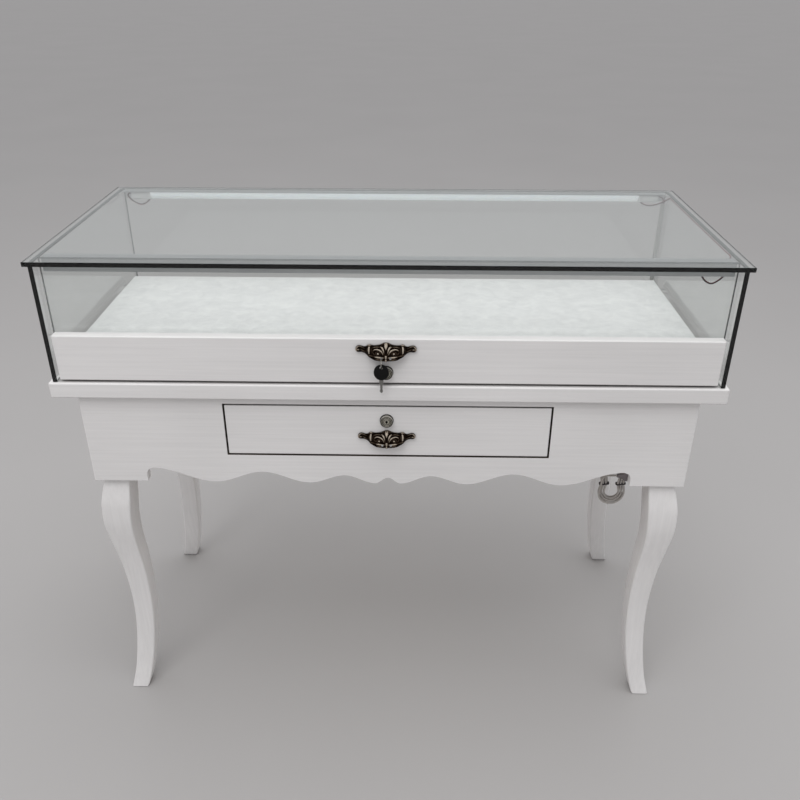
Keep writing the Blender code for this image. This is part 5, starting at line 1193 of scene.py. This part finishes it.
def twin_wire_tree():
    """A Geometry Nodes tree that sweeps two cores along a line of edges."""
    tree, given = new_tree("twin_wire", Core_radius="Float", Core_offset="Float", First_finish="Material",
                           Second_finish="Material")
    path = add_node(tree, "GeometryNodeMeshToCurve", {"Mesh": given.outputs["Geometry"]})
    core = add_node(tree, "GeometryNodeCurvePrimitiveCircle", {
        "Resolution": 12, "Radius": given.outputs["Core radius"]})
    joined = add_node(tree, "GeometryNodeJoinGeometry")
    for sign, finish in ((1.0, "First finish"), (-1.0, "Second finish")):
        aside = add_node(tree, "ShaderNodeMath", {
            0: given.outputs["Core offset"], 1: sign}, operation="MULTIPLY")
        shift = add_node(tree, "ShaderNodeCombineXYZ", {"X": aside})
        profile = add_node(tree, "GeometryNodeTransform", {"Geometry": core, "Translation": shift})
        swept = add_node(tree, "GeometryNodeCurveToMesh", {
            "Curve": path, "Profile Curve": profile, "Fill Caps": True})
        plain = add_node(tree, "GeometryNodeRealizeInstances", {"Geometry": swept})
        painted = add_node(tree, "GeometryNodeSetMaterial", {
            "Geometry": plain, "Material": given.outputs[finish]})
        tree.links.new(painted.outputs["Geometry"], joined.inputs["Geometry"])
    add_node(tree, "NodeGroupOutput", {"Geometry": joined})
    return tree


def run_tree(name, tree, data, **values):
    """Runs a tree on a mesh with its named inputs set, and keeps the result as a plain piece."""
    piece = add_object(name, data)
    modifier = piece.modifiers.new(name, "NODES")
    modifier.node_group = tree
    for socket in tree.interface.items_tree:
        key = socket.name.replace(" ", "_")
        if socket.in_out == "INPUT" and key in values:
            modifier[socket.identifier] = values[key]
    settle(piece)
    smooth(piece.data, 60.0)
    return piece


TWIN_WIRE = twin_wire_tree()
print("wire tree with", len(TWIN_WIRE.nodes), "nodes")

# %% [markdown]
# The routes are the frame's own, worked out from where its pieces are. A wire comes straight out
# of its sleeve, hangs in a loop for slack, and goes up and along the pane's edge. The supply lead
# comes out of the conduit's foot, lies on the plinth, rises over the grommet's lip and goes down
# through it to the driver.

# %% Light wires' routes
WIRE_ROOM = 1.2 * MM   # half the width of a twin wire
LOOP_DIP = 17.0 * MM
LOOP_EASE = 25.0 * MM
# each row: how far along the sleeve, how far from its line in depth and how far down
LINK_FRONT = ((0.12, 0.0, 0.0), (0.30, 0.0, 0.56), (0.58, 0.04, 0.85), (0.86, 0.10, 0.52), (1.08, 0.20, 0.0),
              (1.26, 0.52, -0.5))
LINK_BACK = ((1.22, -0.80, -0.4), (0.95, -0.48, 0.05), (0.64, -0.20, 0.32), (0.36, -0.05, 0.25),
             (0.20, 0.0, 0.0))
END_LOOP = ((0.12, 0.0, 0.0), (0.32, 0.0, 0.45), (0.58, 0.0, 0.65), (0.86, 0.0, 0.45), (1.10, 0.0, 0.0))
sleeve_low, sleeve_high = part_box("light_connector_back_right")
sleeve_length = sleeve_high.x - sleeve_low.x
sleeve_depth = sleeve_high.z - sleeve_low.z
front_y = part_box("light_connector_front_right")[0].y + sleeve_depth / 3
back_y = sleeve_high.y - sleeve_depth / 3
level = sleeve_high.z - sleeve_depth / 3
under = sleeve_high.z - 0.91 * sleeve_depth - SEAT
straight = 2.5 * WIRE_ROOM
sleeve_end = sleeve_high.x + SEAT
edge_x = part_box("glass_right")[0].x - 3 * SEAT - WIRE_ROOM
edge_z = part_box("glass_right")[1].z - 3 * SEAT - WIRE_ROOM


def loop(rows, line_y):
    """Stations by the right-hand sleeves, about one sleeve's line in depth."""
    top = under - straight
    return [(sleeve_low.x + share * sleeve_length, line_y + ease * LOOP_EASE, top - dip * LOOP_DIP)
            for share, ease, dip in rows]


def leaving(share, line_y):
    """The station where a wire leaves a sleeve's underside."""
    return [(sleeve_low.x + share * sleeve_length, line_y, under)]


edge_ys = [front_y + share * LOOP_EASE for share in (1.2, 2.0)] + [(front_y + back_y) / 2]
edge_ys += [back_y - share * LOOP_EASE for share in (2.0, 1.3)]
WIRES = {}
WIRES["light_link_wire"] = leaving(0.12, front_y) + loop(LINK_FRONT, front_y)
WIRES["light_link_wire"] += [(edge_x, y, edge_z) for y in edge_ys]
WIRES["light_link_wire"] += loop(LINK_BACK, back_y) + leaving(0.20, back_y)
end_stations = leaving(0.12, back_y) + loop(END_LOOP, back_y)
end_stations.append((sleeve_end + 3 * straight, back_y, level - straight))
end_stations += [(sleeve_end + steps * straight, back_y, level) for steps in (2, 1, 0)]
WIRES["light_end_wire"] = [(-x, y, z) for x, y, z in end_stations]
for node, stations in WIRES.items():
    print(node, "with", len(stations), "stations")

# %% Feed wire's and supply lead's routes
LEAD_ROOM = 1.7 * MM   # half the width of the flat lead
LEAD_ARCH = 11.0 * MM
low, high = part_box("cable_conduit")
duct_x, duct_y = (low.x + high.x) / 2, (low.y + high.y) / 2
duct_foot, duct_head = low.z, high.z
across, drop_in = duct_x - sleeve_end, level - duct_head
WIRES["light_feed_wire"] = [
    (sleeve_end, back_y, level), (sleeve_end + 0.28 * across, back_y, level),
    (sleeve_end + 0.72 * across, back_y + 0.3 * (duct_y - back_y), level - 0.16 * drop_in),
    (sleeve_end + 0.96 * across, back_y + 0.8 * (duct_y - back_y), level - 0.50 * drop_in),
    (duct_x, duct_y, duct_head + straight), (duct_x, duct_y, duct_head + SEAT)]

plinth_low, plinth_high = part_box("plinth_board")
low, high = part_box("plinth_grommet")
hole_x, hole_y = (low.x + high.x) / 2, (low.y + high.y) / 2
low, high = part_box("light_driver")
driver_back, driver_level = high.y, (low.z + high.z) / 2
foot = duct_foot - plinth_high.z
plinth_thick = plinth_high.z - plinth_low.z
behind = hole_y - driver_back
fall = plinth_low.z - driver_level


def on_plinth(share, lift):
    """A station on the plinth, as a share of the way from the grommet to the conduit."""
    return (hole_x + share * (duct_x - hole_x), hole_y + share * (duct_y - hole_y),
            plinth_high.z + SEAT + LEAD_ROOM + lift)


ON_PLINTH = ((0.97, 0.15 * foot), (0.86, 0.0), (0.55, 0.0), (0.31, 0.0), (0.18, 0.4 * LEAD_ARCH),
             (0.08, LEAD_ARCH), (0.0, 0.65 * LEAD_ARCH), (0.0, -0.15 * plinth_thick))
WIRES["supply_lead"] = [(duct_x, duct_y, duct_foot - SEAT), (duct_x, duct_y, duct_foot - 0.3 * foot)]
WIRES["supply_lead"] += [on_plinth(share, lift) for share, lift in ON_PLINTH]
WIRES["supply_lead"] += [
    (hole_x, hole_y, plinth_low.z + 0.3 * plinth_thick),
    (hole_x, hole_y, plinth_low.z - 0.2 * fall),
    (hole_x, hole_y - 0.08 * behind, driver_level + 0.2 * fall),
    (hole_x, hole_y - 0.28 * behind, driver_level),
    (hole_x, driver_back + 0.2 * behind, driver_level),
    (hole_x, driver_back + SEAT, driver_level)]
for node in ("light_feed_wire", "supply_lead"):
    print(node, "with", len(WIRES[node]), "stations")

# %% Wires along their routes
WIRE_STEP = 2.5 * MM
TWIN = {"Core_radius": 0.8 * MM, "Core_offset": 0.7 * MM,
        "First_finish": RED_WIRE, "Second_finish": BLACK_WIRE}
FLAT = {"Core_radius": 0.95 * MM, "Core_offset": 0.75 * MM,
        "First_finish": CLEAR_LEAD, "Second_finish": CLEAR_LEAD}
for node, stations in WIRES.items():
    route = through(stations, WIRE_STEP)
    line = bpy.data.meshes.new(node + "_path")
    line.from_pydata(route, [(index, index + 1) for index in range(len(route) - 1)], [])
    clear = node == "supply_lead"
    wire = run_tree("swept_" + node, TWIN_WIRE, line, **(FLAT if clear else TWIN))
    dress(wire, "showcase_frame", "clear_grey_lead" if clear else "dark_red_wire", node)

# %% [markdown]
# ## Slides, rails and cams
# These are folded from steel strip and keep the frame's shape. They only take the zinc finish.

# %% Slides, rails and cams
STEEL_NODES = ["display_rail_left", "display_rail_right", "display_runner_left", "display_runner_right",
               "display_lock_cam", "storage_lock_cam"]
for hand in ("left", "right"):
    STEEL_NODES += ["slide_outer_" + hand, "slide_middle_" + hand, "slide_inner_" + hand]
for node in STEEL_NODES:
    for slot_holder in frame["nodes"][node].material_slots:
        slot_holder.material = ZINC_STEEL
print(len(STEEL_NODES), "steel nodes")

# %% [markdown]
# ## Screws and nuts
# Pan-head screws hold the pulls from behind, the slides to the drawer's sides and the driver's
# ears to the plinth, and hex nuts hold the locks and their cams. They repeat, so one head and
# one nut are modelled, and Geometry Nodes put a copy on each point of a small mesh, turned the
# way that the point's own attribute says. What moves together becomes one plain piece.


# %% Fastener tree
def fastener_tree():
    """A Geometry Nodes tree that puts a head on every point, facing the point's own way."""
    tree, given = new_tree("fasteners", Head="Object", Size="Float", Finish="Material")
    head = add_node(tree, "GeometryNodeObjectInfo", {"Object": given.outputs["Head"]})
    facing = add_node(tree, "GeometryNodeInputNamedAttribute", {"Name": "facing"}, data_type="FLOAT_VECTOR")
    turned = add_node(tree, "FunctionNodeAlignRotationToVector", {"Vector": facing}, axis="Z")
    placed = add_node(tree, "GeometryNodeInstanceOnPoints", {
        "Points": given.outputs["Geometry"], "Instance": head.outputs["Geometry"], "Rotation": turned,
        "Scale": given.outputs["Size"]})
    plain = add_node(tree, "GeometryNodeRealizeInstances", {"Geometry": placed})
    painted = add_node(tree, "GeometryNodeSetMaterial", {
        "Geometry": plain, "Material": given.outputs["Finish"]})
    add_node(tree, "NodeGroupOutput", {"Geometry": painted})
    return tree


FASTENERS = fastener_tree()
print("fastener tree with", len(FASTENERS.nodes), "nodes")

# %% Screw's head and nut
FRONT_TO_UP = Matrix.Rotation(math.radians(-90), 4, "X")
SCREW_PROFILE = ((0.0, 2.0), (1.2, 1.95), (2.3, 1.7), (3.1, 1.2), (3.5, 0.6), (3.6, 0.0), (0.0, 0.0))
CROSS = ((0.45, 0.45), (0.45, 1.9), (-0.45, 1.9), (-0.45, 0.45), (-1.9, 0.45), (-1.9, -0.45), (-0.45, -0.45),
         (-0.45, -1.9), (0.45, -1.9), (0.45, -0.45), (1.9, -0.45), (1.9, 0.45))
NUT_THICK = 0.17   # the nut is modelled with a radius of 1 to its corners
NUT_BORE = 0.70
NUT_EASE = 0.03
screw_head = mesh_piece("screw_head", turned_out(in_mm(SCREW_PROFILE), (0, 0, 0), 24), ZINC_STEEL)
cut_with(screw_head, drawn_out(in_mm(CROSS), 1, -3 * MM, -0.9 * MM))
nut = mesh_piece("hex_nut", drawn_out(arc((0, 0), 1.0, 30, 330, 6), 1, -NUT_THICK, 0.0), ZINC_STEEL)
cut_with(nut, drawn_out(circle((0, 0), NUT_BORE, 32), 1, -1.0, 1.0))
round_edges(nut, NUT_EASE, 2)
for pattern in (screw_head, nut):
    pattern.data.transform(FRONT_TO_UP)
print("a head of", len(screw_head.data.polygons), "faces and a nut of", len(nut.data.polygons))

# %% Driver's ears
EAR_THICK = 2.0 * MM
EAR_HALF = (7.5, 6.5)   # in mm
EAR_CORNER = 3.0 * MM
EAR_ASIDE = 6.5 * MM    # from the driver's side to the ear's middle, and on to its screw
EAR_SCREW = 1.0 * MM
EAR_BACK = 75 * MM      # from the driver's front to the ears
EAR_SECTIONS = ((0.0, -0.4), (0.4, 0.0), (2.0, 0.0))   # height and how much it grows, in mm
low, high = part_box("light_driver")
ear_level = high.z - EAR_THICK
ears = bmesh.new()
EAR_SPOTS = []
for side, edge in ((-1, low.x), (1, high.x)):
    ear_x, ear_y = edge + side * EAR_ASIDE, low.y + EAR_BACK
    EAR_SPOTS.append((ear_x + side * EAR_SCREW, ear_y, ear_level))
    rings = []
    for height, grow in EAR_SECTIONS:
        sizes = [(half + grow) * MM for half in EAR_HALF] + [EAR_CORNER]
        rings.append(ring_at((ear_x, ear_y, ear_level + height * MM), 2, sizes))
    skin_rings(rings, ears)
dress(mesh_piece("driver_ears", ears, WHITE_ABS, 50), "showcase_frame", "white_moulded_plastic")

# %% Fasteners in their places
PULL_SCREWS = 32.0 * MM   # how far each screw is from the pull's middle
SCREW_UP = 17.2 * MM      # and how far above the pull's lower rim
display_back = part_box("display_drawer_front")[1].y
storage_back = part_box("storage_drawer_front")[1].y
slide_low, slide_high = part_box("slide_inner_left")
SLIDE_SHEET = 1.2 * MM
slide_face = slide_high.x - SLIDE_SHEET
slide_height = (slide_low.z + slide_high.z) / 2
SLIDE_SCREWS = (-170 * MM, -30 * MM, 110 * MM)
CAM_NUT = 4.6 * MM        # radius to the corners of a nut on a cam, and of one on a lock's barrel
LOCK_NUT = 11.6 * MM
screws = {
    "showcase_frame": [(spot, (0, 0, -1)) for spot in EAR_SPOTS],
    "storage_drawer": [((side * -slide_face, y, slide_height), (side, 0, 0))
                       for side in (-1, 1) for y in SLIDE_SCREWS],
    "display_drawer": [],
}
nuts = {}
for word, back in (("display", display_back), ("storage", storage_back)):
    lock_x, _, lock_z = LOCK_PLACES[word]
    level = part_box(word + "_pull")[0].z + SCREW_UP
    screws[word + "_drawer"] += [((lock_x + side * PULL_SCREWS, back, level), (0, 1, 0)) for side in (-1, 1)]
    nuts[word + "_drawer"] = [((lock_x, back, lock_z), (0, 1, 0))]
    nuts[word + "_lock_plug"] = [((lock_x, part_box(word + "_lock_cam")[1].y, lock_z), (0, 1, 0))]
for kind, head, places in (("screws", screw_head, screws), ("nut", nut, nuts)):
    for body, spots in places.items():
        points = bpy.data.meshes.new(kind + "_places")
        points.from_pydata([spot for spot, way in spots], [], [])
        ways = points.attributes.new("facing", "FLOAT_VECTOR", "POINT")
        for index, (spot, way) in enumerate(spots):
            ways.data[index].vector = way
        nut_size = CAM_NUT if body.endswith("plug") else LOCK_NUT
        size = 1.0 if kind == "screws" else nut_size
        piece = run_tree(kind + "_on_" + body, FASTENERS, points, Head=head, Size=size, Finish=ZINC_STEEL)
        dress(piece, body, "zinc_plated_steel")
for pattern in (screw_head, nut):
    bpy.data.objects.remove(pattern, do_unlink=True)

# %% [markdown]
# ## Plush pad
# The drawer's tray is lined with a board padded in short white plush. Its edges are soft, and its
# top swells a little where the cover isn't held down. It starts as a rounded block that is a
# little too small, and a short cloth simulation with air pressure inside blows it up. Then it is
# given the unevenness of pile that hands have brushed this way and that.

# %% Plush finish
PILE_SIZE = 1.6 * MM   # a tuft is finer on the real cloth, drawn coarse enough to show
BRUSHED_SIZE = 22 * MM


def white_plush():
    """Short dense pile: soft sheen, tufts that shade each other and brushed patches."""
    finish, tree, shader = new_finish("short_pile_white_plush", Roughness=0.95, Sheen_Weight=0.35,
                                      Sheen_Roughness=0.45, Specular_IOR_Level=0.2)
    tufts = add_node(tree, "ShaderNodeTexVoronoi", {
        "Vector": place_scaled(tree, [PILE_SIZE] * 3), "Scale": 1.0})
    brushed = speckle(tree, [BRUSHED_SIZE] * 3, Detail=5.0, Roughness=0.65, Distortion=0.6)
    shade = add_node(tree, "ShaderNodeMath", {0: tufts, 1: -0.22, 2: brushed}, operation="MULTIPLY_ADD")
    colour = blend(tree, spread(tree, shade, 0.15, 0.62), "#d8d8d8", "#ececeb")
    nap = bumped(tree, tufts, 0.6, 0.5, Normal=bumped(tree, brushed, 0.5, 1.2))
    nap.invert = True
    set_inputs(tree, shader, {"Base Color": colour, "Normal": nap})
    return finish


PLUSH = white_plush()
print("pile", PILE_SIZE, "m")


# %% Rounded block
def rounded_block(lowest, highest, radius, spacing, rounds=3):
    """A block with round edges on an even net of points, as a bmesh."""
    nets = []
    for low_end, high_end in zip(lowest, highest):
        near = [radius - radius * math.tan(math.radians(45) * (rounds - index) / rounds)
                for index in range(rounds)]
        flat = high_end - low_end - 2 * radius
        count = max(1, round(flat / spacing))
        middle = [low_end + radius + flat * index / count for index in range(count + 1)]
        nets.append([low_end + gap for gap in near] + middle + [high_end - gap for gap in reversed(near)])
    shape = bmesh.new()
    made = {}
    inner_low = [low_end + radius for low_end in lowest]
    inner_high = [high_end - radius for high_end in highest]

    def corner(index):
        if index not in made:
            spot = Vector((nets[0][index[0]], nets[1][index[1]], nets[2][index[2]]))
            core = Vector([min(max(spot[k], inner_low[k]), inner_high[k]) for k in range(3)])
            made[index] = shape.verts.new(core + (spot - core).normalized() * radius)
        return made[index]

    for axis in range(3):
        first, second = [other for other in range(3) if other != axis]
        for level in (0, len(nets[axis]) - 1):
            for a in range(len(nets[first]) - 1):
                for b in range(len(nets[second]) - 1):
                    quad = []
                    for da, db in ((0, 0), (1, 0), (1, 1), (0, 1)):
                        index = [0, 0, 0]
                        index[axis], index[first], index[second] = level, a + da, b + db
                        quad.append(corner(tuple(index)))
                    shape.faces.new(quad)
    bmesh.ops.recalc_face_normals(shape, faces=shape.faces[:])
    return shape


# %% Plush pad
PAD_NET = 7.0 * MM
PAD_CAP = 1.4 * MM
PAD_FRAMES = 20
PAD_PRESSURE = 4.0
PAD_ROUND = 3.6 * MM
PAD_GLUED = 2.5 * MM       # the cover is held up to this height
PAD_ROOM_LOW = Vector((1.6, 1.2, 0.0)) * MM   # how much smaller it starts at each end
PAD_ROOM_HIGH = Vector((1.6, 1.6, 1.6)) * MM
PILE_LOOSE = 5 * MM        # from this height on the pile's unevenness is full
PILE_SIZES = (90 * MM, 34 * MM, 9 * MM)
PILE_HEIGHTS = (0.40 * MM, 0.24 * MM, 0.22 * MM)
PILE_SHIFTS = (Vector((0.0, 0.0, 0.0)), Vector((7.1, 3.3, 1.9)), Vector((2.7, 8.4, 5.2)))

low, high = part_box("display_pad")
block = rounded_block(low + PAD_ROOM_LOW, high - PAD_ROOM_HIGH, PAD_ROUND, PAD_NET)
pad = mesh_piece("plush_pad", block, PLUSH, 80)
before = np.array([tuple(vertex.co) for vertex in pad.data.vertices])
held = pad.vertex_groups.new(name="glued")
held.add([index for index, spot in enumerate(before) if spot[2] < low.z + PAD_GLUED], 1.0, "REPLACE")
cloth = pad.modifiers.new("blown_up", "CLOTH").settings
cloth.vertex_group_mass = "glued"
cloth.use_pressure = True
cloth.uniform_pressure_force = PAD_PRESSURE
cloth.effector_weights.gravity = 0.0
cloth.quality = 4
scene = bpy.context.scene
for number in range(1, PAD_FRAMES + 1):
    scene.frame_set(number)
graph = bpy.context.evaluated_depsgraph_get()
blown = pad.evaluated_get(graph).to_mesh()
after = np.array([tuple(vertex.co) for vertex in blown.vertices])
pad.evaluated_get(graph).to_mesh_clear()
pad.modifiers.clear()
pad.vertex_groups.clear()
scene.frame_set(1)
moved = after - before
length = np.linalg.norm(moved, axis=1, keepdims=True)
moved *= np.minimum(1.0, PAD_CAP / np.maximum(length, 1e-9))
print("pad blown up by", round(float(length.max()) / MM, 2), "mm, kept under", PAD_CAP / MM, "mm")
before = before + moved
for vertex, spot in zip(pad.data.vertices, before):
    vertex.co = spot
finer = pad.modifiers.new("finer", "SUBSURF")
finer.levels = 1
finer.render_levels = 1
settle(pad)
for vertex in pad.data.vertices:
    spot = vertex.co.copy()
    uneven = 0.0
    loose = min(max((spot.z - low.z) / PILE_LOOSE, 0.0), 1.0)
    for size, height, shift in zip(PILE_SIZES, PILE_HEIGHTS, PILE_SHIFTS):
        uneven += height * noise.noise(spot / size + shift)
    vertex.co.z += loose * uneven
pad.data.shade_smooth()
dress(pad, "display_drawer", "white_plush", "display_pad")

# %% [markdown]
# ## Floor, light and view
# A plain pale floor carries the showcase. The light is soft and even: a bright sky all round, a
# large lamp overhead and one high in front, so the lacquer keeps its colour and the panes have
# something wide to mirror.

# %% Floor
FLOOR_RADIUS = 70.0
FLOOR_PATCH = 0.8
floor_finish, tree, shader = new_finish("pale_matt_floor", Roughness=0.75)
patches = speckle(tree, [FLOOR_PATCH] * 3)
set_inputs(tree, shader, {"Base Color": blend(tree, patches, "#a8a6a5", "#adabaa")})
floor_shape = bmesh.new()
bmesh.ops.create_circle(floor_shape, cap_ends=True, radius=FLOOR_RADIUS, segments=128)
floor = mesh_piece("floor", floor_shape, floor_finish)
print("floor of radius", FLOOR_RADIUS, "m")

# %% Light
SKY_LOW = 0.48
SKY_HIGH = 0.95
AIM = Vector((0.0, 0.0, 0.6))
world = bpy.data.worlds.new("soft_studio")
world.use_nodes = True
bpy.context.scene.world = world
tree = world.node_tree
direction = add_node(tree, "ShaderNodeTexCoord")
height = add_node(tree, "ShaderNodeSeparateXYZ", {"Vector": direction.outputs["Generated"]})
brighter = spread(tree, height.outputs["Z"], 0.0, 0.9, SKY_LOW, SKY_HIGH)
set_inputs(tree, tree.nodes["Background"], {"Color": linear("#f4f4f6"), "Strength": brighter})


def soft_lamp(name, place, size, power):
    """A large lamp aimed at the case, whose hard rectangle no pane mirrors or shows."""
    data = bpy.data.lights.new(name, "AREA")
    data.shape = "RECTANGLE"
    data.size, data.size_y = size
    data.energy = power
    data.cycles.use_multiple_importance_sampling = False
    lamp = add_object(name, data)
    lamp.location = place
    lamp.rotation_euler = (AIM - Vector(place)).to_track_quat("-Z", "Y").to_euler()
    lamp.visible_camera = False
    lamp.visible_glossy = False
    lamp.visible_transmission = False


soft_lamp("overhead", (0.3, 0.2, 3.4), (3.6, 2.6), 38.0)
soft_lamp("front_fill", (-0.8, -2.3, 4.0), (2.4, 1.8), 48.0)
bpy.context.scene.view_settings.view_transform = "Standard"
print("sky and two lamps")
